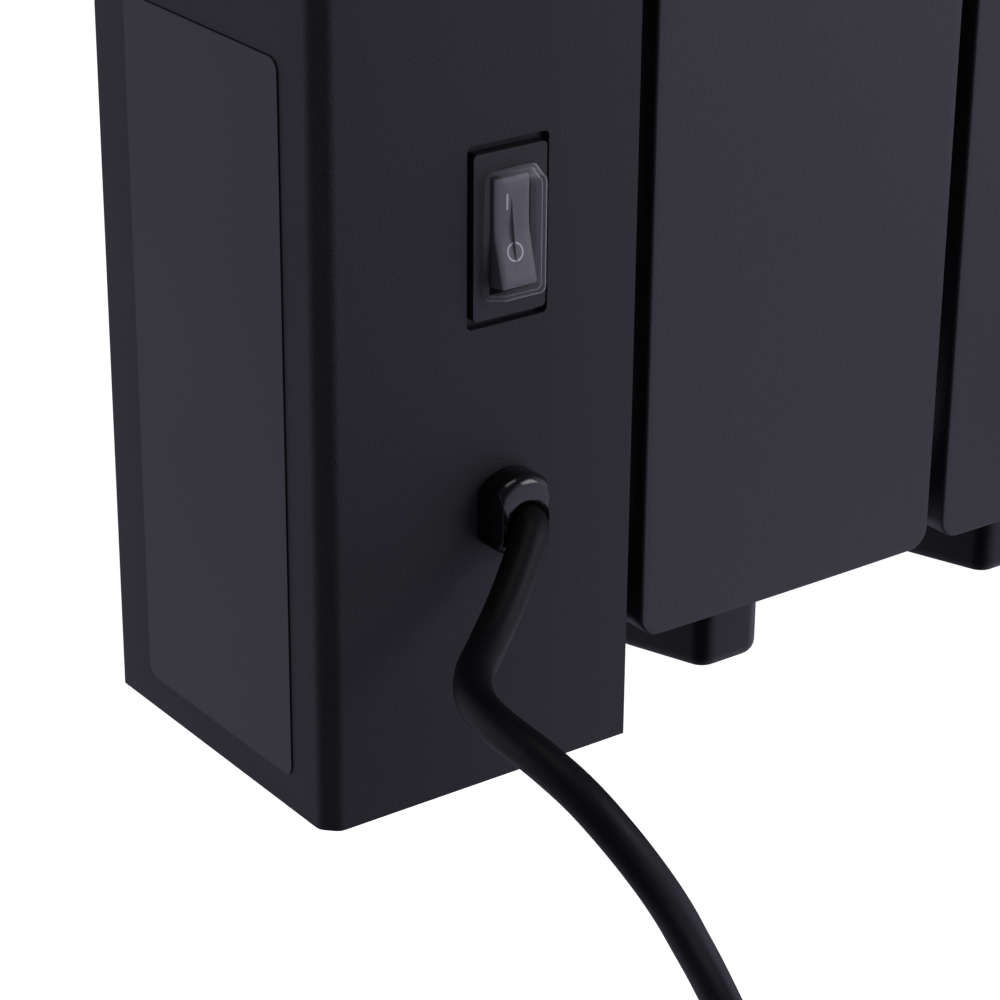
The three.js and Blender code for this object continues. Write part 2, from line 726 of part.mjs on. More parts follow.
// ---------------------------------------------------------------- mains switch
// Built about the window's middle on the rear face: y grows outwards from the bezel's face.
const switchGroup = new THREE.Group();
const bracketFace = REAR - HOUSING_WALL - CLEARANCE;
const bezelFace = bracketFace + CLEARANCE + SWITCH_BEZEL_THICKNESS;
switchGroup.position.set(SWITCH_X, bezelFace, SWITCH_Z);
root.add(switchGroup);

const barrelHole = (extra, depth, place) =>
  prism(
    "y",
    roundedRect(SWITCH_BARREL_WIDTH + 2 * extra, SWITCH_BARREL_HEIGHT + 2 * extra, 0.6),
    depth,
    place,
    2,
  );
const bracketDepth = bracketFace - bezelFace;
const BRACKET_BORDER = 5;
add(
  "switch_bracket",
  cut(
    box(
      -SWITCH_WINDOW_WIDTH / 2 - BRACKET_BORDER,
      SWITCH_WINDOW_WIDTH / 2 + BRACKET_BORDER,
      bracketDepth - SWITCH_BRACKET_WALL,
      bracketDepth,
      -SWITCH_WINDOW_HEIGHT / 2 - BRACKET_BORDER,
      SWITCH_WINDOW_HEIGHT / 2 + BRACKET_BORDER,
    ),
    barrelHole(CLEARANCE, 3 * SWITCH_BRACKET_WALL, [0, bracketDepth + SWITCH_BRACKET_WALL, 0]),
  ),
  blackPlastic,
  switchGroup,
);

const rockerSweep = Math.hypot(ROCKER_HALF_LENGTH, ROCKER_PIVOT_DEPTH + ROCKER_RISE) + SWITCH_PLAY;
const wellDepth = ROCKER_PIVOT_DEPTH + ROCKER_ROOT + 2.5;
add(
  "switch_body",
  cut(
    union(
      prism(
        "y",
        roundedRect(SWITCH_BEZEL_WIDTH, SWITCH_BEZEL_HEIGHT, 1),
        SWITCH_BEZEL_THICKNESS,
        [0, 0, 0],
        3,
      ),
      barrelHole(0, SWITCH_BARREL_DEPTH, [0, -SWITCH_BEZEL_THICKNESS + 0.5, 0]),
      box(-3, 3, -SWITCH_BARREL_DEPTH - 8, -SWITCH_BARREL_DEPTH, 5, 5.8),
      box(-3, 3, -SWITCH_BARREL_DEPTH - 8, -SWITCH_BARREL_DEPTH, -5.8, -5),
    ),
    box(
      -ROCKER_WIDTH / 2 - SWITCH_PLAY,
      ROCKER_WIDTH / 2 + SWITCH_PLAY,
      -wellDepth,
      1,
      -rockerSweep,
      rockerSweep,
    ),
    rod(
      "x",
      TRUNNION_RADIUS + SWITCH_PLAY / 2,
      ROCKER_WIDTH + 2 * TRUNNION_LENGTH + 4 * CLEARANCE,
      [-ROCKER_WIDTH / 2 - TRUNNION_LENGTH - 2 * CLEARANCE, -ROCKER_PIVOT_DEPTH, 0],
      12,
    ),
  ),
  blackPlastic,
  switchGroup,
);

// The rocker's side outline in the YZ plane, about its pivot: a shallow V face over a rounded root.
function rockerOutline() {
  const rise = ROCKER_PIVOT_DEPTH + ROCKER_RISE;
  const tip = rise + ROCKER_HALF_LENGTH * Math.tan(THREE.MathUtils.degToRad(ROCKER_TILT));
  const s = new THREE.Shape();
  s.moveTo(rise, 0);
  s.lineTo(tip, ROCKER_HALF_LENGTH);
  s.lineTo(0, ROCKER_HALF_LENGTH);
  s.quadraticCurveTo(-ROCKER_ROOT, ROCKER_HALF_LENGTH * 0.8, -ROCKER_ROOT, 0);
  s.quadraticCurveTo(-ROCKER_ROOT, -ROCKER_HALF_LENGTH * 0.8, 0, -ROCKER_HALF_LENGTH);
  s.lineTo(tip, -ROCKER_HALF_LENGTH);
  s.closePath();
  return s;
}
const rocker = add(
  "switch_rocker",
  union(
    prism("x", rockerOutline(), ROCKER_WIDTH, [-ROCKER_WIDTH / 2, 0, 0], 4),
    rod(
      "x",
      TRUNNION_RADIUS,
      ROCKER_WIDTH + 2 * TRUNNION_LENGTH,
      [-ROCKER_WIDTH / 2 - TRUNNION_LENGTH, 0, 0],
      12,
    ),
  ),
  greyPlastic,
  switchGroup,
);
rocker.position.y = -ROCKER_PIVOT_DEPTH;
rocker.rotation.x = THREE.MathUtils.degToRad(ROCKER_TILT);

// A clear box-shaped cap over the rocker, drafted towards its face.
function capShell(inset, rise) {
  const g = new THREE.BoxGeometry(1, 1, 1);
  const p = g.attributes.position;
  for (let i = 0; i < p.count; i++) {
    const out = p.getY(i) > 0;
    const draft = out ? COVER_DRAFT : 0;
    p.setXYZ(
      i,
      Math.sign(p.getX(i)) * (COVER_WIDTH / 2 - inset - draft),
      out ? rise : 0,
      Math.sign(p.getZ(i)) * (COVER_HEIGHT / 2 - inset - draft),
    );
  }
  return solid(g);
}
add(
  "switch_cover",
  cut(
    capShell(0, COVER_RISE),
    capShell(COVER_WALL, COVER_RISE - COVER_WALL),
  ).translate([0, CLEARANCE, 0]),
  clearPlastic,
  switchGroup,
);

// ---------------------------------------------------------------- cable gland
// Turned about its own axis: a domed head outside the wall, a neck through it, and a collar inside.
function gland() {
  const r = GLAND_HEAD_RADIUS;
  const collar = HOUSING_WALL + CLEARANCE;
  const profile = [
    [GLAND_BORE_RADIUS, GLAND_HEAD_RISE],
    [GLAND_BORE_RADIUS + 1.2, GLAND_HEAD_RISE],
    [r - 1.2, GLAND_HEAD_RISE - 1.3],
    [r - 0.2, GLAND_HEAD_RISE - 2.7],
    [r, CLEARANCE],
    [GLAND_NECK_RADIUS, CLEARANCE],
    [GLAND_NECK_RADIUS, -collar],
    [GLAND_NECK_RADIUS + 0.9, -collar],
    [GLAND_NECK_RADIUS - 0.6, -GLAND_NECK_LENGTH],
    [GLAND_BORE_RADIUS, -GLAND_NECK_LENGTH],
    [GLAND_BORE_RADIUS, GLAND_HEAD_RISE],
  ];
  const g = new THREE.LatheGeometry(profile.reverse().map(([x, y]) => new THREE.Vector2(x, y)), 20);
  const flats = [-1, 1].map((side) => {
    const x0 = side > 0 ? GLAND_FLAT : -GLAND_FLAT - 4;
    return box(x0, x0 + 4, -GLAND_NECK_LENGTH - 1, GLAND_HEAD_RISE + 1, -r - 1, r + 1);
  });
  return cut(solid(g), ...flats);
}
add("cable_gland", gland(), blackPlastic).position.set(GLAND_X, REAR, GLAND_Z);

// ---------------------------------------------------------------- heating element and filler plug
const rodEnd = elementX(ELEMENT_COUNT - 1) - VESSEL_WIDTH / 4;
const neckTip = INNER_FACE - NECK_LENGTH;
const flangeX = COVER_PLATE_X + CLEARANCE;
const rodStart = neckTip + 4;
const bend = new THREE.CurvePath();
const spread = ELEMENT_ROD_SPREAD;
const bendCentre = rodEnd + spread;
bend.add(
  new THREE.LineCurve3(
    new THREE.Vector3(rodStart, spread, HEADER_BOTTOM),
    new THREE.Vector3(bendCentre, spread, HEADER_BOTTOM),
  ),
);
const halfTurnPoints = [];
for (let k = 0; k <= 6; k++) {
  const a = Math.PI / 2 + (k * Math.PI) / 6;
  halfTurnPoints.push(
    new THREE.Vector3(bendCentre + spread * Math.cos(a), spread * Math.sin(a), HEADER_BOTTOM),
  );
}
const straightRod = (y) => rod("x", ELEMENT_ROD_RADIUS, rodStart - bendCentre, [bendCentre, y, HEADER_BOTTOM], 8);
const hairpin = solid(
  new THREE.ExtrudeGeometry(
    new THREE.Shape().absarc(0, 0, ELEMENT_ROD_RADIUS, 0, 2 * Math.PI, false),
    { steps: 6, curveSegments: 4, extrudePath: new THREE.CatmullRomCurve3(halfTurnPoints) },
  ),
);
const terminalPins = [-1, 1].map((side) =>
  rod("x", 2, 12, [flangeX + FLANGE_THICKNESS - 1, side * spread, HEADER_BOTTOM], 8),
);
add(
  "heating_element",
  union(
    prism("x", hexagon(FLANGE_ACROSS), FLANGE_THICKNESS, [flangeX, 0, HEADER_BOTTOM]),
    rod("x", HEADER_BORE_RADIUS - BORE_CLEARANCE, flangeX + 1 - neckTip, [neckTip, 0, HEADER_BOTTOM], 12),
    straightRod(spread),
    straightRod(-spread),
    hairpin,
    ...terminalPins,
  ),
  copper,
);

const plugSeat = elementX(ELEMENT_COUNT - 1) - FAR_BOTTOM_STUB;
const PLUG_NECK = 14;
add(
  "filler_plug",
  union(
    prism("x", hexagon(20), PLUG_HEAD, [plugSeat - CLEARANCE - PLUG_HEAD, 0, HEADER_BOTTOM]),
    rod("x", HEADER_BORE_RADIUS - BORE_CLEARANCE, PLUG_NECK + 1, [plugSeat - CLEARANCE - 1, 0, HEADER_BOTTOM], 12),
  ),
  zinc,
);

// ---------------------------------------------------------------- far end cover
const tray = cut(
  box(FAR_FACE, FAR_FACE + END_COVER_WIDTH, -REAR, REAR, GROUND, TOP),
  box(
    FAR_FACE + END_COVER_WALL,
    FAR_FACE + END_COVER_WIDTH + 1,
    -REAR + END_COVER_WALL,
    REAR - END_COVER_WALL,
    GROUND + END_COVER_WALL,
    TOP - END_COVER_WALL,
  ),
  box(
    FAR_FACE + END_COVER_WALL,
    FAR_FACE + END_COVER_WIDTH + 1,
    -HEADER_RADIUS - 1,
    HEADER_RADIUS + 1,
    GROUND - 1,
    GROUND + END_COVER_WALL + 1,
  ),
);
const coverBevels = [-1, 1].map((side) => {
  const s = new THREE.Shape([
    new THREE.Vector2(FAR_FACE - 1, side * (REAR - HOUSING_BEVEL - 1)),
    new THREE.Vector2(FAR_FACE + HOUSING_BEVEL + 1, side * (REAR + 1)),
    new THREE.Vector2(FAR_FACE - 1, side * (REAR + 1)),
  ]);
  return prism("z", s, HOUSING_HEIGHT + 2, [0, 0, GROUND - 1]);
});
add("end_cover", cut(tray, ...coverBevels), housingPaint);

// ---------------------------------------------------------------- feet
// A channel under the vessels with a wheel at each end, hung from the bottom header by a clamp.
const saddleTop = HEADER_BOTTOM - HEADER_RADIUS - CLEARANCE;
const footBottom = saddleTop - FOOT_CHANNEL;
const wheelY = FOOT_LENGTH / 2 - WHEEL_INSET;
const axleZ = WHEEL_RADIUS * Math.cos(Math.PI / WHEEL_SIDES);

// Side outline of a foot's cheek in the YZ plane: the channel's depth, with a lug round each axle.
function cheekOutline() {
  const half = FOOT_LENGTH / 2;
  const s = new THREE.Shape();
  s.moveTo(-half, saddleTop);
  s.lineTo(-half, footBottom);
  s.lineTo(-wheelY - CHEEK_RADIUS, axleZ);
  s.absarc(-wheelY, axleZ, CHEEK_RADIUS, Math.PI, 2 * Math.PI, false);
  s.lineTo(-wheelY + CHEEK_RADIUS + 8, footBottom);
  s.lineTo(wheelY - CHEEK_RADIUS - 8, footBottom);
  s.lineTo(wheelY - CHEEK_RADIUS, axleZ);
  s.absarc(wheelY, axleZ, CHEEK_RADIUS, Math.PI, 2 * Math.PI, false);
  s.lineTo(half, footBottom);
  s.lineTo(half, saddleTop);
  s.closePath();
  return s;
}

const clampInner = HEADER_RADIUS + CLEARANCE;
const clampOuter = clampInner + CLAMP_WALL;
const screwY = clampOuter + CLAMP_LEG / 2;

// A channel with cheeks, an axle at each end, the clamp screw's hole and the clamp hook's slot.
function footBar(x) {
  const x0 = x - FOOT_WIDTH / 2;
  const x1 = x + FOOT_WIDTH / 2;
  const cheeks = [x0, x1 - FOOT_WALL].map((at) => prism("x", cheekOutline(), FOOT_WALL, [at, 0, 0], 5));
  const top = box(x0, x1, -FOOT_LENGTH / 2, FOOT_LENGTH / 2, saddleTop - FOOT_WALL, saddleTop);
  const axles = [-1, 1].map((side) =>
    rod("x", AXLE_RADIUS, FOOT_WIDTH - 2 * FOOT_WALL + 1, [x0 + FOOT_WALL - 0.5, side * wheelY, axleZ], 12),
  );
  const screwHole = rod("z", SCREW_RADIUS + CLEARANCE, 3 * FOOT_WALL, [x, screwY, saddleTop - 2 * FOOT_WALL], 12);
  const hookSlot = box(
    x - CLAMP_WIDTH / 2 - CLEARANCE,
    x + CLAMP_WIDTH / 2 + CLEARANCE,
    -clampOuter - CLEARANCE,
    -clampInner + CLEARANCE,
    saddleTop - 2 * FOOT_WALL,
    saddleTop + 1,
  );
  return cut(union(...cheeks, top, ...axles), screwHole, hookSlot);
}

// A wheel about its own middle: hub, web and a rounded tread.
function wheel() {
  const half = WHEEL_WIDTH / 2;
  const bore = AXLE_RADIUS + CLEARANCE;
  const profile = [
    [bore, -half],
    [AXLE_RADIUS + 3.5, -half],
    [AXLE_RADIUS + 4, -WHEEL_DISH],
    [WHEEL_RADIUS - 5, -WHEEL_DISH],
    [WHEEL_RADIUS - 4, -half + 2],
    [WHEEL_RADIUS, -half + 2],
    [WHEEL_RADIUS, half - 2],
    [WHEEL_RADIUS - 4, half - 2],
    [WHEEL_RADIUS - 5, WHEEL_DISH],
    [AXLE_RADIUS + 4, WHEEL_DISH],
    [AXLE_RADIUS + 3.5, half],
    [bore, half],
    [bore, -half],
  ];
  const g = new THREE.LatheGeometry(profile.map(([x, y]) => new THREE.Vector2(x, y)), WHEEL_SIDES);
  return solid(g).rotate([0, 0, 90]).rotate([180 / WHEEL_SIDES, 0, 0]);
}

// A strap over the header collar: a hook through the channel's slot on the front side, and on the
// rear side a leg on the channel with a nut for the clamp screw.
function clampStrap(x) {
  const foot = saddleTop + CLEARANCE;
  const hookTop = saddleTop - FOOT_WALL - CLEARANCE;
  const s = new THREE.Shape();
  s.moveTo(-clampOuter - CLAMP_HOOK, hookTop);
  s.lineTo(-clampOuter - CLAMP_HOOK, hookTop - CLAMP_WALL);
  s.lineTo(-clampInner, hookTop - CLAMP_WALL);
  s.lineTo(-clampInner, HEADER_BOTTOM);
  s.absarc(0, HEADER_BOTTOM, clampInner, Math.PI, 0, true);
  s.lineTo(clampInner, foot);
  s.lineTo(clampOuter + CLAMP_LEG, foot);
  s.lineTo(clampOuter + CLAMP_LEG, foot + CLAMP_WALL);
  s.lineTo(clampOuter, foot + CLAMP_WALL);
  s.lineTo(clampOuter, HEADER_BOTTOM);
  s.absarc(0, HEADER_BOTTOM, clampOuter, 0, Math.PI, false);
  s.lineTo(-clampOuter, hookTop);
  s.closePath();
  const strap = prism("x", s, CLAMP_WIDTH, [x - CLAMP_WIDTH / 2, 0, 0], 5);
  const nut = rod("z", SCREW_RADIUS + 2.4, CLAMP_NUT, [x, screwY, foot], 6);
  const thread = rod("z", SCREW_RADIUS + CLEARANCE, CLAMP_NUT + 2, [x, screwY, foot - 1], 12);
  return cut(union(strap, nut), thread);
}

// A hand screw from below, with a fluted head, through the channel and the clamp's nut.
function clampScrew(x) {
  const headTop = saddleTop - FOOT_WALL - CLEARANCE;
  const flutes = new THREE.Shape();
  const lobes = 6;
  for (let k = 0; k < 2 * lobes; k++) {
    const a = (k * Math.PI) / lobes;
    const r = SCREW_HEAD_RADIUS * (k % 2 ? 0.84 : 1);
    if (k === 0) flutes.moveTo(r * Math.cos(a), r * Math.sin(a));
    else flutes.lineTo(r * Math.cos(a), r * Math.sin(a));
  }
  flutes.closePath();
  return union(
    prism("z", flutes, SCREW_HEAD_HEIGHT, [x, screwY, headTop - SCREW_HEAD_HEIGHT]),
    rod("z", SCREW_RADIUS, FOOT_WALL + CLAMP_NUT + 4, [x, screwY, headTop - 1], 12),
  );
}

const wheelGeometry = geometryOf(wheel());
["near", "far"].forEach((end, i) => {
  const x = elementX(FOOT_GAPS[i] - 1) - PITCH / 2;
  add(`foot_bar_${end}`, footBar(x), housingPaint);
  add(`clamp_${end}`, clampStrap(x), zinc);
  add(`clamp_screw_${end}`, clampScrew(x), blackPlastic);
  [
    ["rear", 1],
    ["front", -1],
  ].forEach(([side, sign]) => {
    add(`wheel_${end}_${side}`, wheelGeometry, blackPlastic).position.set(x, sign * wheelY, axleZ);
  });
});

// ---------------------------------------------------------------- mains lead
// Points on the lead's middle line, from the gland's mouth to the coil, each as the distance from the
// end face, the distance behind the rear face and the height above the housing's underside.
const LEAD_POINTS = [
  [40.9, 7.3, 55],
  [36.2, 10.9, 50.8],
  [29.4, 15.4, 45.9],
  [21.8, 20.5, 42.3],
  [14.3, 26.8, 41],
  [8.9, 35.2, 40.8],
  [7, 45, 40.6],
  [8.1, 55, 38.8],
  [10.9, 63.2, 34.4],
  [14.9, 69.1, 27.3],
  [19.8, 71.8, 19],
  [25.2, 71.6, 10.3],
  [30.5, 69.9, 1.7],
  [35.8, 67.7, -6.6],
  [41, 65.4, -15],
  [46, 63.7, -23.6],
  [50.1, 63, -30.3],
  [54.4, 63, -36.2],
  [60, 63.1, -41.1],
  [66.8, 63.4, -44.5],
  [72.2, 64, -45.9],
  [77.7, 65, -46.4],
];
const leadPoint = ([along, behind, above]) =>
  new THREE.Vector3(END_FACE - along, REAR + behind, GROUND + above);
const leadPath = new THREE.CatmullRomCurve3(LEAD_POINTS.map(leadPoint), false, "centripetal");
const leadSection = new THREE.Shape().absarc(0, 0, CORD_RADIUS, 0, 2 * Math.PI, false);
add(
  "cord_lead",
  new THREE.ExtrudeGeometry(leadSection, { steps: 30, curveSegments: 5, extrudePath: leadPath }),
  rubber,
);

// The coil's middle, measured as the lead's points are.
const COIL_ALONG = 66;
const COIL_BEHIND = 115.1;
const coilX = END_FACE - COIL_ALONG;
const coilY = REAR + COIL_BEHIND;
const coilOuter = COIL_OUTER_TURN + CORD_RADIUS;
const coilInner = coilOuter - COIL_TURNS_WIDE * 2 * CORD_RADIUS;
const coilTop = COIL_LIFT + COIL_TURNS_HIGH * 2 * CORD_RADIUS;
const COIL_EDGE = 2;
const coilProfile = [
  [coilInner + COIL_EDGE, COIL_LIFT],
  [coilOuter - COIL_EDGE, COIL_LIFT],
  [coilOuter, COIL_LIFT + COIL_EDGE],
  [coilOuter, coilTop - COIL_EDGE],
  [coilOuter - COIL_EDGE, coilTop],
  [coilInner + COIL_EDGE, coilTop],
  [coilInner, coilTop - COIL_EDGE],
  [coilInner, COIL_LIFT + COIL_EDGE],
  [coilInner + COIL_EDGE, COIL_LIFT],
];
const coil = solid(
  new THREE.LatheGeometry(coilProfile.map(([x, y]) => new THREE.Vector2(x, y)), 32),
).rotate([90, 0, 0]);
add("cord_coil", coil, rubber).position.set(coilX, coilY, 0);

// A strap round the coil's section, on the side away from the heater's end.
const tieIn = coilInner - 3 * CLEARANCE;
const tieOut = coilOuter + CLEARANCE;
const strap = cut(
  box(
    -tieOut - TIE_WALL,
    -tieIn + TIE_WALL,
    -TIE_WIDTH / 2,
    TIE_WIDTH / 2,
    COIL_LIFT - CLEARANCE - TIE_WALL,
    coilTop + CLEARANCE + TIE_WALL,
  ),
  box(-tieOut, -tieIn, -TIE_WIDTH, TIE_WIDTH, COIL_LIFT - CLEARANCE, coilTop + CLEARANCE),
);
add("coil_tie", strap, blackPlastic).position.set(coilX, coilY, 0);

// The plug lies beside the coil, in line with the outer top turn.
const PLUG = {
  gap: 30, // from where the lead leaves the coil
  relief: 26,
  reliefRadius: 4.8,
  shoulder: 8,
  body: 30,
  radius: 17.5,
  pinRadius: 2.4,
  pinLength: 19,
  pinSpread: 9.5,
};
const plugAxisZ = COIL_LIFT + (2 * COIL_TURNS_HIGH - 1) * CORD_RADIUS;
const plugProfile = [
  [0, 0],
  [PLUG.reliefRadius, 0],
  [PLUG.reliefRadius + 2.4, PLUG.relief],
  [PLUG.radius - 2, PLUG.relief + PLUG.shoulder],
  [PLUG.radius, PLUG.relief + PLUG.shoulder + 3],
  [PLUG.radius, PLUG.relief + PLUG.shoulder + PLUG.body - 1.5],
  [PLUG.radius - 1.5, PLUG.relief + PLUG.shoulder + PLUG.body],
  [0, PLUG.relief + PLUG.shoulder + PLUG.body],
];
const plugBody = solid(
  new THREE.LatheGeometry(plugProfile.map(([x, y]) => new THREE.Vector2(x, y)), 24),
).rotate([0, 0, -90]);
const plugEnd = PLUG.relief + PLUG.shoulder + PLUG.body;
const pins = [-1, 1].map((side) =>
  rod("x", PLUG.pinRadius, PLUG.pinLength + 1, [plugEnd - 1, side * PLUG.pinSpread, 0], 12),
);
add("plug", union(plugBody, ...pins), rubber).position.set(
  coilX + PLUG.gap,
  coilY + COIL_OUTER_TURN,
  plugAxisZ,
);

export default root;
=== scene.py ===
import bmesh
import bpy
import numpy as np
from mathutils import Matrix, Vector


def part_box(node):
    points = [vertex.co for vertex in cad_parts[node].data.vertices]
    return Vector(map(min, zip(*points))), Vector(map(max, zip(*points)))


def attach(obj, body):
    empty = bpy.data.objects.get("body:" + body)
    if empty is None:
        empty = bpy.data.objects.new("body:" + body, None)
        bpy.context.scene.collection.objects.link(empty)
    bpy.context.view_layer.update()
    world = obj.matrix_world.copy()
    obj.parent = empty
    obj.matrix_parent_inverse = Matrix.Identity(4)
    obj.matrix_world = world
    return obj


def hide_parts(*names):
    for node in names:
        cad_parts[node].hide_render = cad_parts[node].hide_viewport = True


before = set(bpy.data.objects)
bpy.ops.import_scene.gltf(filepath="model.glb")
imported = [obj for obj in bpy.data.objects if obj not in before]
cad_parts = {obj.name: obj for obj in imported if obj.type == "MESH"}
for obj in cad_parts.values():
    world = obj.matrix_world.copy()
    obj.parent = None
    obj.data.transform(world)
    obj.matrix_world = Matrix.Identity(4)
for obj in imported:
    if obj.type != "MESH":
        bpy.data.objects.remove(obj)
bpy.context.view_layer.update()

# ---------------------------------------------------------------------------
# Camera: a long lens about 0.6 m away, above and behind the housing's end,
# that takes in the lower rear corner with the switch and the lead.
CAMERA_PLACE = (0.650315, 0.483386, 0.375385)
CAMERA_HEADING = 0.629948  # round the heater from +Y towards +X, in radians
CAMERA_HEIGHT_ANGLE = 0.426665  # above level, in radians
CAMERA_ROLL = -0.008211
CAMERA_LENS = 117.24


def camera_turn(heading, height, roll):
    """Axes of a camera that looks at the heater from a heading and a height angle, then rolls about its
    own line of sight: back = (sin h cos e, cos h cos e, sin e), right = (-cos h, sin h, 0)."""
    back = Vector((np.sin(heading) * np.cos(height), np.cos(heading) * np.cos(height), np.sin(height)))
    right = Vector((-np.cos(heading), np.sin(heading), 0.0))
    up = back.cross(right)
    rolled_right = right * np.cos(roll) - up * np.sin(roll)
    rolled_up = right * np.sin(roll) + up * np.cos(roll)
    return Matrix((rolled_right, rolled_up, back)).transposed()


camera_data = bpy.data.cameras.new("camera")
camera_data.lens = CAMERA_LENS
camera_data.sensor_width = 36.0
camera_data.clip_start = 0.01
camera_data.clip_end = 60.0
camera = bpy.data.objects.new("camera", camera_data)
camera.matrix_world = Matrix.Translation(CAMERA_PLACE) @ camera_turn(
    CAMERA_HEADING, CAMERA_HEIGHT_ANGLE, CAMERA_ROLL
).to_4x4()
bpy.context.scene.collection.objects.link(camera)
bpy.context.scene.camera = camera

# ---------------------------------------------------------------------------
# Mains lead: round three-core flex in a matt black rubber sheath. It leaves
# the gland, hangs to the floor, and its spare length is wound into a coil of
# two columns of turns that ends in the plug.
LEAD_DIAMETER = 0.0072
LEAD_SIDES = 20
LEAD_ROUTE_MM = [
    # in from the housing's end face, out behind the rear face, up from the housing's underside
    [42, 3.4, 56], [40.9, 7.3, 55], [36.2, 10.9, 50.8], [29.4, 15.4, 45.9],
    [21.8, 20.5, 42.3], [14.3, 26.8, 41], [8.9, 35.2, 40.8], [7, 45, 40.6],
    [8.1, 55, 38.8], [10.9, 63.2, 34.4], [14.9, 69.1, 27.3], [19.8, 71.8, 19],
    [25.2, 71.6, 10.3], [30.5, 69.9, 1.7], [35.8, 67.7, -6.6], [41, 65.4, -15],
    [46, 63.7, -23.6], [50.1, 63, -30.3], [54.4, 63, -36.2], [60, 63.1, -41.1],
    [66.8, 63.4, -44.5], [72.2, 64, -45.9], [77.7, 65, -46.4],
]
END_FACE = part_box("housing_shell")[1][0]
REAR_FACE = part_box("housing_shell")[1][1]
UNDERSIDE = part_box("housing_shell")[0][2]
COIL_ALONG, COIL_BEHIND, COIL_LIFT = 0.066, 0.1151, 0.0016
COIL_POINTS = 131  # one for every 15 degrees wound, nearly
STEPS_BETWEEN_POINTS = 6
PLUG_MOUTH = 0.030  # straight lead between the coil's last turn and the plug
LEAD_IN_PLUG = 0.006
LEAD_RUN_POINTS = (0.011, 0.022)
# degrees wound since the lead met the coil, against turn radius and layer (0 on the floor, 2 on top)
COIL_RADIUS_KEYS = [(0, 0.05145), (50, 0.0364), (1105, 0.0364), (1150, 0.0436), (1967, 0.0436)]
COIL_LAYER_KEYS = [
    (0, 2), (385, 2), (430, 1), (745, 1), (790, 0), (1465, 0), (1510, 1), (1870, 1), (1930, 2), (1967, 2),
]


def eased(x, keys):
    """Value at x of a line through keys, each step between two keys eased as w*w*(3 - 2w)."""
    at, value = np.array(keys, float).T
    i = np.clip(np.searchsorted(at, x, side="right") - 1, 0, len(at) - 2)
    w = np.clip((x - at[i]) / (at[i + 1] - at[i]), 0, 1)
    return value[i] + (value[i + 1] - value[i]) * w * w * (3 - 2 * w)


def lead_line(fine):
    """The lead's middle line: the hanging points, then turns whose angle falls evenly while radius and
    layer follow their keys, then a straight run into the plug. A Catmull-Rom curve goes through them all."""
    along, behind, above = np.array(LEAD_ROUTE_MM, float).T / 1000
    hanging = np.stack([END_FACE - along, REAR_FACE + behind, UNDERSIDE + above], 1)
    centre = np.array([END_FACE - COIL_ALONG, REAR_FACE + COIL_BEHIND])
    first = np.arctan2(*(hanging[-1, :2] - centre)[::-1])
    wound = np.linspace(0, COIL_RADIUS_KEYS[-1][0], COIL_POINTS)[1:]
    angle = first - np.radians(wound)
    radius = eased(wound, COIL_RADIUS_KEYS)
    height = COIL_LIFT + LEAD_DIAMETER * (0.5 + eased(wound, COIL_LAYER_KEYS))
    turns = np.stack([centre[0] + radius * np.cos(angle), centre[1] + radius * np.sin(angle), height], 1)
    run = turns[-1] + np.outer([*LEAD_RUN_POINTS, PLUG_MOUTH + LEAD_IN_PLUG], [1, 0, 0])
    p = np.concatenate([hanging, turns, run])
    p = np.concatenate([[2 * p[0] - p[1]], p, [2 * p[-1] - p[-2]]])
    t = (np.arange(fine) / fine)[None, :, None]
    a, b, c, d = (p[i : len(p) - 3 + i, None] for i in range(4))
    curve = 0.5 * (2 * b + (c - a) * t + (2 * a - 5 * b + 4 * c - d) * t**2 + (3 * b - a - 3 * c + d) * t**3)
    return np.concatenate([curve.reshape(-1, 3), p[-2:-1]]), turns[-1]


def tube_rings(line, radius, sides):
    """Circles square to a line: each ring is line + r cos a * n + r sin a * b, with n carried along the line
    by turning it with the line's direction, so that the tube doesn't twist."""
    ahead = np.gradient(line, axis=0)
    ahead /= np.linalg.norm(ahead, axis=1)[:, None]
    n = np.cross(ahead[0], [0.0, 0.0, 1.0])
    normals = np.empty_like(line)
    for i, t in enumerate(ahead):
        n = n - t * (n @ t)
        n = n / np.linalg.norm(n)
        normals[i] = n
    sideways = np.cross(ahead, normals)
    a = np.linspace(0, 2 * np.pi, sides, endpoint=False)
    r = np.broadcast_to(radius, (len(line),))[:, None, None]
    across = np.cos(a)[:, None] * normals[:, None] + np.sin(a)[:, None] * sideways[:, None]
    return line[:, None] + r * across


def skin(rings, first_cap=True, last_cap=True):
    """(points, faces) of a surface through closed rings of equal count, in order, with flat end caps."""
    rings = np.asarray(rings, float)
    rows, cols = rings.shape[:2]
    r, c = np.meshgrid(np.arange(rows - 1), np.arange(cols), indexing="ij")
    near, far = r * cols + c, r * cols + (c + 1) % cols
    faces = np.stack([near, far, far + cols, near + cols], -1).reshape(-1, 4).tolist()
    if first_cap:
        faces.append(list(range(cols))[::-1])
    if last_cap:
        faces.append(list(range((rows - 1) * cols, rows * cols)))
    return rings.reshape(-1, 3), faces


SAME_POINT = 2e-6  # points nearer than this are one


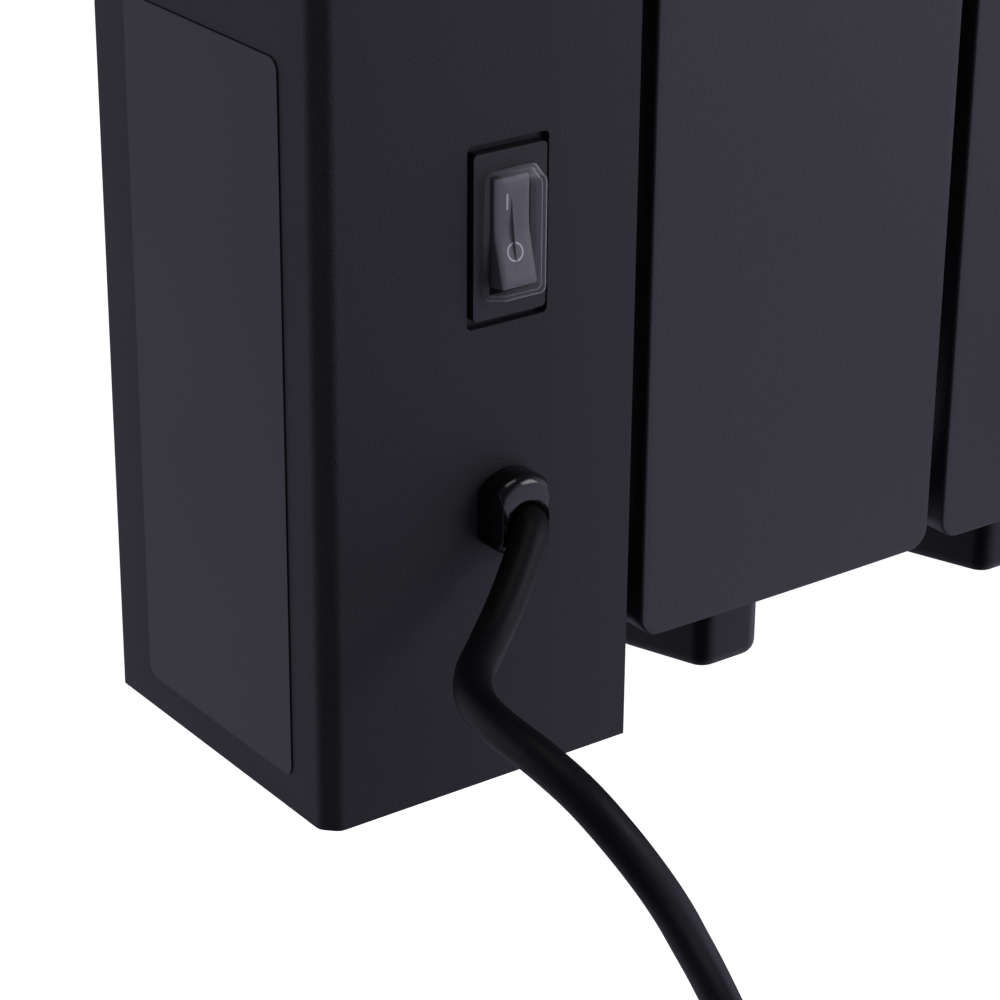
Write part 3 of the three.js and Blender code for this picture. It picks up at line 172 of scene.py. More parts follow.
def piece(name, parts, material, body="heater", stands_for=(), sharp=35):
    """One named object from (points, faces) parts: doubles merged, faces turned outwards, and edges over
    the sharp angle, in degrees, kept crisp. It rides on a body and stands for CAD nodes."""
    counts = np.cumsum([0] + [len(points) for points, _ in parts])
    faces = [[i + start for i in face] for (_, part), start in zip(parts, counts) for face in part]
    mesh = bpy.data.meshes.new(name)
    mesh.from_pydata(np.concatenate([points for points, _ in parts]).tolist(), [], faces)
    tidy = bmesh.new()
    tidy.from_mesh(mesh)
    bmesh.ops.remove_doubles(tidy, verts=tidy.verts, dist=SAME_POINT)
    bmesh.ops.recalc_face_normals(tidy, faces=tidy.faces)
    tidy.to_mesh(mesh)
    tidy.free()
    mesh.shade_smooth()
    mesh.set_sharp_from_angle(angle=np.radians(sharp))
    mesh.materials.append(material)
    made = bpy.data.objects.new(name, mesh)
    bpy.context.scene.collection.objects.link(made)
    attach(made, body)
    if stands_for:
        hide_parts(*stands_for)
    return made


def ranged(tree, source, given, wanted):
    """Output of a Map Range node that takes a source from its given range to the wanted one."""
    node = tree.nodes.new("ShaderNodeMapRange")
    for socket, value in zip(("From Min", "From Max", "To Min", "To Max"), (*given, *wanted)):
        node.inputs[socket].default_value = value
    tree.links.new(source, node.inputs["Value"])
    return node.outputs["Result"]


def noise(tree, place, scale, detail):
    """Output of a noise over a place's coordinates, with scale cells to the metre."""
    node = tree.nodes.new("ShaderNodeTexNoise")
    node.inputs["Scale"].default_value = scale
    node.inputs["Detail"].default_value = detail
    tree.links.new(place, node.inputs["Vector"])
    return node.outputs["Fac"]


def raised(tree, height, relief, shader):
    """Gives a shader a bump from a height, relief metres deep."""
    bump = tree.nodes.new("ShaderNodeBump")
    bump.inputs["Distance"].default_value = relief
    bump.inputs["Strength"].default_value = 1.0
    tree.links.new(height, bump.inputs["Height"])
    tree.links.new(bump.outputs["Normal"], shader.inputs["Normal"])


DRIFT_SCALE = 24
ROUGHNESS_SPREAD = 0.05


def surface_finish(
    name, colour, roughness, grain, relief, stretch=1.0, speckle=0.0, metal=0.0, gloss=0.5, wear=0.08
):
    """A finish whose colour, roughness and relief all come from noise on Object coordinates: grain is the
    size of the relief's cells, relief its height, stretch how much longer they are upwards, speckle how far
    single grains stand out in colour, and wear how much the colour drifts over centimetres."""
    material = bpy.data.materials.new(name)
    material.use_nodes = True
    tree = material.node_tree
    shader = tree.nodes["Principled BSDF"]
    shader.inputs["Metallic"].default_value = metal
    shader.inputs["Specular IOR Level"].default_value = gloss
    place = tree.nodes.new("ShaderNodeTexCoord").outputs["Object"]
    mapping = tree.nodes.new("ShaderNodeMapping")
    mapping.inputs["Scale"].default_value = (1, 1, 1 / stretch)
    tree.links.new(place, mapping.inputs["Vector"])
    fine = noise(tree, mapping.outputs["Vector"], 1 / grain, 3)
    drift = noise(tree, place, DRIFT_SCALE, 4)
    shade = tree.nodes.new("ShaderNodeMath")
    shade.operation = "MULTIPLY"
    tree.links.new(ranged(tree, drift, (0.3, 0.7), (1 - wear, 1 + wear)), shade.inputs[0])
    tree.links.new(ranged(tree, fine, (0.35, 0.75), (1 - 0.5 * speckle, 1 + speckle)), shade.inputs[1])
    coloured = tree.nodes.new("ShaderNodeVectorMath")
    coloured.operation = "SCALE"
    coloured.inputs[0].default_value = colour
    tree.links.new(shade.outputs["Value"], coloured.inputs["Scale"])
    tree.links.new(coloured.outputs["Vector"], shader.inputs["Base Color"])
    dull = ranged(tree, drift, (0, 1), (roughness - ROUGHNESS_SPREAD, roughness + ROUGHNESS_SPREAD))
    tree.links.new(dull, shader.inputs["Roughness"])
    raised(tree, fine, relief, shader)
    return material


sheath_rubber = surface_finish(
    "sheath_rubber", (0.0048, 0.0047, 0.0057), 0.5, 0.0012, 0.00006, wear=0.3, gloss=0.17
)
lead_path, coil_end = lead_line(STEPS_BETWEEN_POINTS)
lead = piece(
    "mains_lead",
    [skin(tube_rings(lead_path, LEAD_DIAMETER / 2, LEAD_SIDES))],
    sheath_rubber,
    stands_for=("cord_lead", "cord_coil"),
    sharp=60,
)

# ---------------------------------------------------------------------------
# Plug: a round moulded mains plug in the same rubber, with a ribbed grip, a
# tapered sleeve over the lead and two nickel plated pins.
PLUG_SLEEVE = 0.026
PLUG_SHOULDER = 0.008
PLUG_BODY = 0.030
PLUG_RADIUS = 0.0175
SLEEVE_RIBS, SLEEVE_RIB_PITCH, SLEEVE_GROWTH = 5, 0.0044, 0.00048
SLEEVE_START, SLEEVE_RADIUS, GROOVE = 0.003, 0.0048, 0.0008
PIN_RADIUS, PIN_LENGTH, PIN_SPREAD = 0.0024, 0.019, 0.0095
RIB_COUNT, RIB_DEPTH = 30, 0.035  # depth as a share of the radius
PLUG_SIDES, PIN_SIDES = 120, 32


def turned(profile, count, ripple=0.0, ribs=0):
    """Rings of a profile of (x along the axis, radius) turned about +X: (x, r cos a, r sin a), the radius
    cut back by ripple * r * (1 - cos(ribs a)) / 2 where ribs are wanted."""
    x, r = np.array(profile, float).T
    a = np.linspace(0, 2 * np.pi, count, endpoint=False)
    scale = 1 - ripple * (1 - np.cos(ribs * a)) / 2 if ribs else np.ones(count)
    around = r[:, None] * scale
    return np.stack([np.broadcast_to(x[:, None], around.shape), around * np.cos(a), around * np.sin(a)], -1)


plug_at = coil_end + np.array([PLUG_MOUTH, 0, 0])
plug_end = PLUG_SLEEVE + PLUG_SHOULDER + PLUG_BODY
sleeve = [(0, 0.0042), (0.0006, SLEEVE_RADIUS)]
for ring in range(SLEEVE_RIBS):
    x0 = SLEEVE_START + ring * SLEEVE_RIB_PITCH
    r0 = SLEEVE_RADIUS + ring * SLEEVE_GROWTH
    sleeve += [(x0, r0), (x0 + 0.0003, r0 - GROOVE), (x0 + 0.0015, r0 - GROOVE), (x0 + 0.0018, r0 + 0.0001)]
sleeve += [(PLUG_SLEEVE, 0.0072), (PLUG_SLEEVE + 0.003, 0.0105), (PLUG_SLEEVE + 0.006, 0.0148)]
sleeve += [(PLUG_SLEEVE + PLUG_SHOULDER, 0.0162), (PLUG_SLEEVE + PLUG_SHOULDER + 0.0016, 0.017)]
grip = [(plug_end - 0.0265, 0.0172), (plug_end - 0.025, PLUG_RADIUS)]
grip += [(plug_end - 0.006, PLUG_RADIUS), (plug_end - 0.005, 0.0171)]
nose = [(plug_end - 0.0048, 0.0166), (plug_end - 0.0012, 0.0166)]
nose += [(plug_end - 0.0003, 0.016), (plug_end, 0.0150)]
plug_rings = np.concatenate(
    [
        turned(sleeve, PLUG_SIDES),
        turned(grip, PLUG_SIDES, ripple=RIB_DEPTH, ribs=RIB_COUNT),
        turned(nose, PLUG_SIDES),
    ]
)
pin_profile = [
    (0, PIN_RADIUS),
    (PIN_LENGTH - 0.0022, PIN_RADIUS),
    (PIN_LENGTH - 0.0008, PIN_RADIUS * 0.8),
    (PIN_LENGTH, PIN_RADIUS * 0.45),
]
plug = piece(
    "mains_plug", [skin(plug_rings + plug_at)], sheath_rubber, stands_for=("plug",)
)
nickel = surface_finish("nickel", (0.62, 0.6, 0.56), 0.25, 0.0006, 0.00001, metal=1.0, wear=0.05)
pins = piece(
    "plug_pins",
    [
        skin(turned(pin_profile, PIN_SIDES) + plug_at + np.array([plug_end - 0.0002, side * PIN_SPREAD, 0]))
        for side in (-1, 1)
    ],
    nickel,
)

# ---------------------------------------------------------------------------
# Coil tie: a soft black hook-and-loop strap, 9 mm wide, closed round the six
# turns of the coil on the side away from the heater's end.
tie_low, tie_high = (np.array(v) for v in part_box("coil_tie"))
TIE_WALL, TIE_CORNER = 0.0012, 0.0035


def strap_rings(low, high, wall, corner, across):
    """Rings of a strap: a rounded rectangle in XZ carried across Y as an outer and an inner skin, closed
    at both edges; a point of it is centre + half size, its corners swept through quarter circles."""
    a = np.linspace(0, 2 * np.pi, 64, endpoint=False)

    def outline(inset, y):
        half = (high - low)[[0, 2]] / 2 - inset
        r = corner - inset
        sx, sz = np.sign(np.cos(a)), np.sign(np.sin(a))
        x = sx * (half[0] - r) + r * np.cos(a)
        z = sz * (half[1] - r) + r * np.sin(a)
        middle = (low + high) / 2
        return np.stack([middle[0] + x, np.full_like(x, y), middle[2] + z], 1)

    y0, y1 = across
    edge = wall * 0.3
    steps = [(wall, y0 + edge), (wall, y1 - edge), (wall - edge, y1), (edge, y1), (0, y1 - edge)]
    steps += [(0, y0 + edge), (edge, y0), (wall - edge, y0), (wall, y0 + edge)]
    return np.stack([outline(inset, y) for inset, y in steps])


strap_weave = surface_finish("strap_weave", (0.014, 0.014, 0.015), 0.85, 0.0005, 0.00012, wear=0.3, gloss=0.2)
tie = piece(
    "lead_tie",
    [skin(strap_rings(tie_low, tie_high, TIE_WALL, TIE_CORNER, (tie_low[1], tie_high[1])), False, False)],
    strap_weave,
    stands_for=("coil_tie",),
)

# ---------------------------------------------------------------------------
# Control housing: one folded wrap of 1.5 mm steel, open towards the radiator,
# its rear upright corner broken by a flat bend. It is coated with a fine
# grained black powder. A window takes the switch and a hole takes the gland.
WALL = 0.0015
BEND = 0.0029
SHELL_LOW, SHELL_HIGH = (np.array(v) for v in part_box("housing_shell"))
WINDOW_SIZE, WINDOW_CORNER = (0.018, 0.0348), 0.0011
SWITCH_AT = (END_FACE - 0.0405, UNDERSIDE + 0.1115)
GLAND_AT = (END_FACE - 0.0409, UNDERSIDE + 0.0571)
plate_low, plate_high = (np.array(v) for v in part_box("rating_plate"))
POCKET_DEPTH, POCKET_GAP, POCKET_CORNER = 0.0005, 0.00012, 0.0027
REAR_BEND_RADIUS, FRONT_BEND_RADIUS, INNER_BEND_RADIUS, CUT_EDGE = 0.0026, 0.0007, 0.0003, 1e-5
GLAND_HOLE = 0.0065
CUT_BEHIND, CUT_PAST = 0.004, 0.002  # how far a cutter reaches either side of a face
HOUSING_BROKEN_EDGE = 0.00028


def rounded_corners(corners, radii, steps):
    """An outline with each corner replaced by an arc of its radius: the arc's centre lies on the corner's
    bisector, and its points run evenly from one tangent point to the other."""
    p = np.asarray(corners, float)
    before, after = np.roll(p, 1, 0) - p, np.roll(p, -1, 0) - p
    before /= np.linalg.norm(before, axis=1)[:, None]
    after /= np.linalg.norm(after, axis=1)[:, None]
    half = np.arccos(np.clip((before * after).sum(1), -1, 1)) / 2
    radii = np.broadcast_to(np.asarray(radii, float), (len(p),))
    bisector = before + after
    bisector /= np.linalg.norm(bisector, axis=1)[:, None]
    centre = p + bisector * (radii / np.sin(half))[:, None]
    start = p + before * (radii / np.tan(half))[:, None] - centre
    end = p + after * (radii / np.tan(half))[:, None] - centre
    a0 = np.arctan2(start[:, 1], start[:, 0])
    sweep = (np.arctan2(end[:, 1], end[:, 0]) - a0 + np.pi) % (2 * np.pi) - np.pi
    a = a0[:, None] + sweep[:, None] * np.linspace(0, 1, steps)
    arcs = centre[:, None] + radii[:, None, None] * np.stack([np.cos(a), np.sin(a)], -1)
    return arcs.reshape(-1, 2)


def box_outline(width, height, corner, steps=7):
    """A rectangle about the origin with round corners."""
    w, h = width / 2, height / 2
    return rounded_corners([(w, h), (-w, h), (-w, -h), (w, -h)], corner, steps)


def upright(outline, z0, z1):
    """Rings of an (x, y) outline at each height."""
    heights = np.array([z0, z1])[:, None, None]
    flat = np.broadcast_to(outline, (2, *outline.shape))
    return np.concatenate([flat, np.broadcast_to(heights, (2, len(outline), 1))], -1)


def facing_rear(outline, at, y0, y1):
    """Rings of an (x, z) outline about a point of the rear face, from one depth to another."""
    x, z = (outline + np.asarray(at)).T
    return np.stack([np.stack([x, np.full_like(x, y), z], 1) for y in (y0, y1)])


def carve(body, cutters):
    """Takes each cutter's solid out of the body, then removes the cutters."""
    for cutter in cutters:
        step = body.modifiers.new("carve", "BOOLEAN")
        step.operation = "DIFFERENCE"
        step.solver = "EXACT"
        step.object = cutter
    settled = body.evaluated_get(bpy.context.evaluated_depsgraph_get())
    carved = bpy.data.meshes.new_from_object(settled)
    body.modifiers.clear()
    body.data = carved
    for cutter in cutters:
        bpy.data.objects.remove(cutter)


def cutter_from(rings):
    """A solid for carving, with no finish, from rings."""
    points, faces = skin(rings)
    mesh = bpy.data.meshes.new("cutter")
    mesh.from_pydata(points.tolist(), [], faces)
    turn = bmesh.new()
    turn.from_mesh(mesh)
    bmesh.ops.recalc_face_normals(turn, faces=turn.faces)
    turn.to_mesh(mesh)
    turn.free()
    cutter = bpy.data.objects.new("cutter", mesh)
    bpy.context.scene.collection.objects.link(cutter)
    return cutter


def crisp_bevel(made, width, segments=2, angle=40):
    """Breaks a piece's sharp edges by a small width, as a coat of paint or a mould does."""
    bevel = made.modifiers.new("broken_edges", "BEVEL")
    bevel.width = width
    bevel.segments = segments
    bevel.limit_method = "ANGLE"
    bevel.angle_limit = np.radians(angle)
    bevel.harden_normals = True


def wrap_outline(low, high, wall, bend):
    """Section of the wrap in XY: an outer line whose rear corner is broken at 45 degrees and an inner line a
    wall inside it, joined at the open side."""
    x0, x1, y0, y1 = low[0], high[0], low[1], high[1]
    run = bend - wall * (2 - np.sqrt(2))
    outer = [(x1 - bend, y1), (x1, y1 - bend), (x1, y0)]
    inner = [(x1 - wall, y0 + wall), (x1 - wall, y1 - wall - run), (x1 - wall - run, y1 - wall)]
    ends_rear = [(x0, y1 - wall), (x0, y1)]
    ends_front = [(x0, y0), (x0, y0 + wall)]
    corners = ends_rear + outer + ends_front + inner
    outer_radii = [REAR_BEND_RADIUS] * 2 + [FRONT_BEND_RADIUS]
    radii = [CUT_EDGE] * 2 + outer_radii + [CUT_EDGE] * 2 + [INNER_BEND_RADIUS] * 3
    return rounded_corners(corners, radii, 5)


housing_powder = surface_finish(
    "housing_powder", (0.0135, 0.0132, 0.0165), 0.6, 0.0004, 0.00011, speckle=0.6, wear=0.08, gloss=0.32
)
shell = piece(
    "folded_housing",
    [skin(upright(wrap_outline(SHELL_LOW, SHELL_HIGH, WALL, BEND), SHELL_LOW[2], SHELL_HIGH[2]))],
    housing_powder,
    stands_for=("housing_shell",),
)


def plate_outline(grow, corner):
    """The rating plate's rectangle in (y, z), grown on each side, with round corners."""
    y0, z0 = plate_low[1:] - grow
    y1, z1 = plate_high[1:] + grow
    return rounded_corners([(y0, z0), (y1, z0), (y1, z1), (y0, z1)], corner, 9)


def facing_end(outline, x):
    """A ring of a (y, z) outline in the plane at x."""
    return np.stack([np.full(len(outline), x), *outline.T], 1)


around = np.linspace(0, 2 * np.pi, 48, endpoint=False)
gland_hole = GLAND_HOLE * np.stack([np.cos(around), np.sin(around)], 1)
window = box_outline(*WINDOW_SIZE, WINDOW_CORNER)
pocket = plate_outline(POCKET_GAP, POCKET_CORNER)
carve(
    shell,
    [
        cutter_from(facing_rear(window, SWITCH_AT, REAR_FACE - CUT_BEHIND, REAR_FACE + CUT_PAST)),
        cutter_from(facing_rear(gland_hole, GLAND_AT, REAR_FACE - CUT_BEHIND, REAR_FACE + CUT_PAST)),
        cutter_from(
            np.stack([facing_end(pocket, x) for x in (END_FACE - POCKET_DEPTH, END_FACE + CUT_PAST)])
        ),
    ],
)
shell.data.shade_smooth()
shell.data.set_sharp_from_angle(angle=np.radians(35))
crisp_bevel(shell, HOUSING_BROKEN_EDGE)

# ---------------------------------------------------------------------------
# Rating plate: a thin smooth film plate, blank here, that sits in a shallow
# pocket of the end face and stands a hair proud of it.
PLATE_CORNER = 0.0024
PLATE_ROUND, PLATE_TOP = 0.0001, 0.9985  # the face shrinks by this share over the last of its height
plate_edge = plate_outline(0.0, PLATE_CORNER)
plate_middle = plate_edge.mean(0)
plate_rings = np.stack(
    [
        facing_end((plate_edge - plate_middle) * share + plate_middle, x)
        for x, share in ((plate_low[0], 1.0), (plate_high[0] - PLATE_ROUND, 1.0), (plate_high[0], PLATE_TOP))
    ]
)
plate_film = surface_finish(
    "plate_film", (0.0156, 0.0151, 0.0196), 0.42, 0.0009, 0.00002, wear=0.12, gloss=0.32
)
piece(
    "rating_plate_film",
    [skin(plate_rings)],
    plate_film,
    stands_for=("rating_plate",),
    sharp=20,
)

# ---------------------------------------------------------------------------
# Radiator panels: pressed steel faces, two to an element, slightly crowned
# across, with round corners and an edge rolled back into a flange all round.
# Satin powder coat with a faint vertical orange peel.
PANEL_WALL = 0.0011
PANEL_CROWN = 0.0003
PANEL_ROLL = 0.0006
PANEL_CORNER = 0.0046
PANEL_FLANGE = 0.0082
PANEL_LIP = 0.0002
CORNER_POINTS, EDGE_POINTS = 7, 15
INNER_SHARE = 0.86  # of the half width, where the rings over the face start
ELEMENTS = sorted(int(name.rsplit("_", 1)[1]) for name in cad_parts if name.startswith("rear_panel_"))


def panel_rings(low, high, outward):
    """Rings round the panel's outline, inset by i and dropped by d behind the crowned face
    y = face - crown (x / half)**2: from the middle of the face out to the rolled edge (i = f (1 - sin a),
    d = f (1 - cos a)), down the flange, round its lip, and back along the inside."""
    half = (high[0] - low[0]) / 2
    middle_x, middle_z = (low[0] + high[0]) / 2, (low[2] + high[2]) / 2
    tall = (high[2] - low[2]) / 2
    quarter = np.linspace(0, np.pi / 2, CORNER_POINTS)
    corner = np.concatenate([quarter + k * np.pi / 2 for k in range(4)])
    sx = np.repeat([1, -1, -1, 1], CORNER_POINTS)
    sz = np.repeat([1, 1, -1, -1], CORNER_POINTS)

    def ring(inset, drop):
        r = max(PANEL_CORNER - inset, 1e-6)
        x = sx * (half - inset - r) + r * np.cos(corner)
        z = sz * (tall - inset - r) + r * np.sin(corner)
        line = np.stack([x, z], 1)
        # extra points along each straight run, so that the crown is smooth across the ends
        following = np.roll(line, -1, 0)
        t = np.linspace(0, 1, EDGE_POINTS)[:-1, None]
        line = np.concatenate(
            [
                line[k] + (following[k] - line[k]) * t if (k + 1) % CORNER_POINTS == 0 else line[k : k + 1]
                for k in range(len(line))
            ]
        )
        depth = PANEL_CROWN * (line[:, 0] / half) ** 2 + drop
        face = high[1] if outward > 0 else low[1]
        return np.stack([middle_x + line[:, 0], face - outward * depth, middle_z + line[:, 1]], 1)

    roll = np.linspace(0, np.pi / 2, 6)
    inner_roll = max(PANEL_ROLL - PANEL_WALL, 0.0001)
    middle, near_edge = half - 1e-6, 0.002
    steps = [(middle, 0.0)] + [(i, 0.0) for i in np.linspace(half * INNER_SHARE, near_edge, 8)]
    steps += [(PANEL_ROLL * (1 - np.sin(a)), PANEL_ROLL * (1 - np.cos(a))) for a in roll]
    steps += [(0.0, PANEL_FLANGE - PANEL_LIP), (PANEL_LIP, PANEL_FLANGE)]
    steps += [(PANEL_WALL - PANEL_LIP, PANEL_FLANGE), (PANEL_WALL, PANEL_FLANGE - PANEL_LIP)]
    steps += [(PANEL_WALL, PANEL_WALL + inner_roll), (PANEL_WALL + inner_roll, PANEL_WALL)]
    steps += [(i, PANEL_WALL) for i in np.linspace(near_edge, half * INNER_SHARE, 5)] + [(middle, PANEL_WALL)]
    return np.stack([ring(i, d) for i, d in steps])


panel_satin = surface_finish(
    "panel_satin",
    (0.0172, 0.0168, 0.0208),
    0.48,
    0.0007,
    0.00006,
    stretch=1.9,
    speckle=0.2,
    wear=0.06,
    gloss=0.42,
)
for number in ELEMENTS:
    for face, outward in (("rear", 1), ("front", -1)):
        node = f"{face}_panel_{number}"
        low, high = (np.array(v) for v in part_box(node))
        piece(
            f"{face}_plate_{number}",
            [skin(panel_rings(low, high, outward), False, False)],
            panel_satin,
            stands_for=(node,),
            sharp=50,
        )

# ---------------------------------------------------------------------------
# Oil vessels: eight upright pressed steel tubes of rounded section with round
# ends, joined by short header collars, and with a T web on the front and the
# rear that carries the panels. Satin black stove enamel.
SIDE_CIRCLE = (0.0045, 0.0, 0.010)
TIP_CIRCLE = (0.004, 0.01575, 0.005)
VESSEL_TIP = TIP_CIRCLE[1] + TIP_CIRCLE[2]
VESSEL_END = 0.003
HEADER_RADIUS = 0.011
HEADER_RISE = 0.006
COLLAR_LIP = 0.0006
WEB_INSET, WEB_ROOT = 0.014, 0.004
WEB_STEM, WEB_FOOT, WEB_THICK = 0.001, 0.007, 0.0015
FILLER_HEAD = 0.0066  # from the filler plug's outer face to the collar's end


def vessel_rings(x, low_z, high_z):
    """Rings of the vessel's section, inset by e (1 - sin a) at height e (1 - cos a) from each end, which
    rounds both ends. The section wraps four tip circles and two side circles: at each direction t it takes
    the circle that reaches furthest, whose point is centre + r (cos t, sin t)."""
    t = np.linspace(0, 2 * np.pi, 96, endpoint=False)
    way = np.stack([np.cos(t), np.sin(t)], 1)
    signs = [(sx, sy) for sx in (1, -1) for sy in (1, -1)]
    circles = [(sx * cx, sy * cy, r) for cx, cy, r in (SIDE_CIRCLE, TIP_CIRCLE) for sx, sy in signs]
    centres = np.array(circles)[:, :2]
    radii = np.array(circles)[:, 2]
    furthest = (way @ centres.T + radii).argmax(1)

    def ring(inset, z):
        outline = centres[furthest] + (radii[furthest] - inset)[:, None] * way
        return np.concatenate([outline + [x, 0], np.full((len(outline), 1), z)], 1)

    a = np.linspace(0, np.pi / 2, 7)
    inset, rise = VESSEL_END * (1 - np.sin(a)), VESSEL_END * (1 - np.cos(a))
    lower = [ring(i, low_z + r) for i, r in zip(inset, rise)]
    upper = [ring(i, high_z - r) for i, r in zip(inset[::-1], rise[::-1])]
    return np.stack(lower + upper)


def collar_rings(x0, x1, z):
    """A collar along +X: circles of radius r from x0 to x1, with a small lip at each end."""
    r, lip = HEADER_RADIUS, COLLAR_LIP
    profile = [(x0, r - lip), (x0 + lip, r), (x1 - lip, r), (x1, r - lip)]
    return turned(profile, 48) + np.array([0, 0, z])


def web_rings(x, side, low_z, high_z, foot_face):
    """A T section extruded upwards, its stem rooted in the vessel and its foot behind the panel."""
    root = VESSEL_TIP - WEB_ROOT
    back = foot_face - WEB_THICK
    half = [(WEB_FOOT, foot_face), (WEB_FOOT, back), (WEB_STEM, back), (WEB_STEM, root)]
    outline = [(-x_out, y) for x_out, y in half[::-1]] + half
    outline = np.array(outline) * [1, side] + [x, 0]
    return upright(outline, low_z, high_z)


vessel_enamel = surface_finish(
    "vessel_enamel", (0.0032, 0.0031, 0.0036), 0.34, 0.0016, 0.00003, wear=0.12, gloss=0.24
)
panel_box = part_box("rear_panel_1")
for number in ELEMENTS:
    node = f"oil_vessel_{number}"
    low, high = (np.array(v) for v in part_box(node))
    middle = (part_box(f"rear_panel_{number}")[0][0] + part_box(f"rear_panel_{number}")[1][0]) / 2
    bottom, top = low[2] + HEADER_RISE + HEADER_RADIUS, high[2] - HEADER_RADIUS
    far_bottom = low[0] if number < ELEMENTS[-1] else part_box("filler_plug")[0][0] + FILLER_HEAD
    parts = [
        skin(vessel_rings(middle, low[2], high[2])),
        skin(collar_rings(far_bottom, high[0], bottom)),
        skin(collar_rings(low[0], high[0], top)),
    ]
    for side in (1, -1):
        foot_face = high[1] if side > 0 else -low[1]
        web_low, web_high = panel_box[0][2] + WEB_INSET, panel_box[1][2] - WEB_INSET
        parts.append(skin(web_rings(middle, side, web_low, web_high, foot_face)))
    piece(f"vessel_{number}", parts, vessel_enamel, stands_for=(node,))

# ---------------------------------------------------------------------------
# Cable gland: a glossy black nylon bushing pressed through the rear face. Its
# domed head is cut flat on both sides and dished round the lead.
GLAND_RADIUS, GLAND_FLAT, GLAND_RISE = 0.0082, 0.0068, 0.0064
GLAND_SHOULDER, GLAND_NECK, GLAND_FLANGE = 0.0023, 0.0063, 0.0003
FLAT_LEAN, MOUTH_REACH = 0.35, 0.0062
MOUTH_SHIFT = np.array([-0.0003, 0.0, -0.0018])
gland_mouth = LEAD_DIAMETER / 2 + 0.0003


def gland_rings():
    """Rings of the head about +Y: points of radius r and height h on a dome profile, with x clamped to the
    flats, x = clip(r cos a, -flat, flat), so the dome is sliced by two planes."""
    a = np.linspace(0, 2 * np.pi, 96, endpoint=False)
    dome = np.linspace(0, np.pi / 2, 9)
    round_top = GLAND_RISE - 0.0004
    profile = [(GLAND_NECK, -0.003), (GLAND_NECK, GLAND_FLANGE), (GLAND_RADIUS, GLAND_FLANGE)]
    profile += [(GLAND_RADIUS, GLAND_RISE - GLAND_SHOULDER - 0.0004)]
    profile += [
        (GLAND_RADIUS - GLAND_SHOULDER * (1 - np.cos(t)), round_top - GLAND_SHOULDER * (1 - np.sin(t)))
        for t in dome
    ]
    profile += [(0.0049, GLAND_RISE), (0.0045, GLAND_RISE - 0.0002)]
    profile += [(gland_mouth, GLAND_RISE - 0.0012), (gland_mouth, -0.003)]
    r, h = np.array(profile).T
    # the flats lean in slightly towards the top of the dome
    flat = GLAND_FLAT - FLAT_LEAN * np.clip(h - 0.0012, 0, None)
    # the mouth sits below the middle of the head, where the lead turns down
    lower = np.clip((MOUTH_REACH - r) / (MOUTH_REACH - gland_mouth), 0, 1)[:, None]
    x = np.clip(r[:, None] * np.cos(a), -flat[:, None], flat[:, None]) + lower * MOUTH_SHIFT[0]
    z = r[:, None] * np.sin(a) + lower * MOUTH_SHIFT[2]
    y = np.broadcast_to(h[:, None], x.shape)
    return np.stack([GLAND_AT[0] + x, REAR_FACE + y, GLAND_AT[1] + z], -1)


gland_nylon = surface_finish("gland_nylon", (0.004, 0.004, 0.0045), 0.16, 0.0008, 0.000008, wear=0.1)
gland_surface = gland_rings()
gland_surface = np.concatenate([gland_surface, gland_surface[:1]])
piece(
    "gland_head",
    [skin(gland_surface, False, False)],
    gland_nylon,
    stands_for=("cable_gland",),
)

# ---------------------------------------------------------------------------
# Mains switch: a bezel in the window, a rocker marked I and O that tilts in
# it, and a clear flexible box cap with round edges that keeps out damp.
bezel_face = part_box("switch_body")[1][1]
bezel_plastic = surface_finish("bezel_plastic", (0.0115, 0.0113, 0.0124), 0.5, 0.0003, 0.00002, gloss=0.35)


def broken_edges(node, width, material, body="heater"):
    """A merged copy of a CAD node's mesh with its flat faces joined and its sharp edges bevelled."""
    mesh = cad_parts[node].data.copy()
    mesh.materials.clear()
    mesh.materials.append(material)
    clean = bmesh.new()
    clean.from_mesh(mesh)
    bmesh.ops.remove_doubles(clean, verts=clean.verts, dist=1e-6)
    bmesh.ops.dissolve_limit(clean, angle_limit=np.radians(1), verts=clean.verts, edges=clean.edges)
    clean.to_mesh(mesh)
    clean.free()
    mesh.shade_smooth()
    mesh.set_sharp_from_angle(angle=np.radians(30))
    made = bpy.data.objects.new(node + "_finished", mesh)
    bpy.context.scene.collection.objects.link(made)
    crisp_bevel(made, width)
    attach(made, body)
    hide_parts(node)
    return made


broken_edges("switch_body", 0.0002, bezel_plastic)

ROCKER_HALF = (0.004, 0.0102)
ROCKER_TILT = np.radians(8)
PIVOT_DEPTH = 0.0024
PIVOT = np.array([SWITCH_AT[0], bezel_face - PIVOT_DEPTH, SWITCH_AT[1]])
ROCKER_RISE, ROCKER_ROOT, ROCKER_FOLD = 0.0031, -0.002, 0.0012
# (inset, drop) of the rings over the rocker, the rim first
ROCKER_STEPS = [(0, 0.0005), (0.00015, 0.00015), (0.0005, 0.0), (0.0016, 0.0), (0.0028, 0.0), (0.0039, 0.0)]
MARK_FOOT, MARK_TOP = -0.0001, 0.00004


def rocker_turned(points):
    """Points (x, out, up) about the pivot, turned by the rocker's tilt, in the heater's frame."""
    x, out, up = np.moveaxis(np.asarray(points, float), -1, 0)
    c, s = np.cos(ROCKER_TILT), np.sin(ROCKER_TILT)
    return PIVOT + np.stack([x, out * c - up * s, out * s + up * c], -1)


def rocker_height(up):
    """The face's height over the pivot: a shallow V, its middle rounded as sqrt(up**2 + e**2)."""
    return ROCKER_RISE + np.tan(ROCKER_TILT) * (np.sqrt(up**2 + ROCKER_FOLD**2) - ROCKER_FOLD)


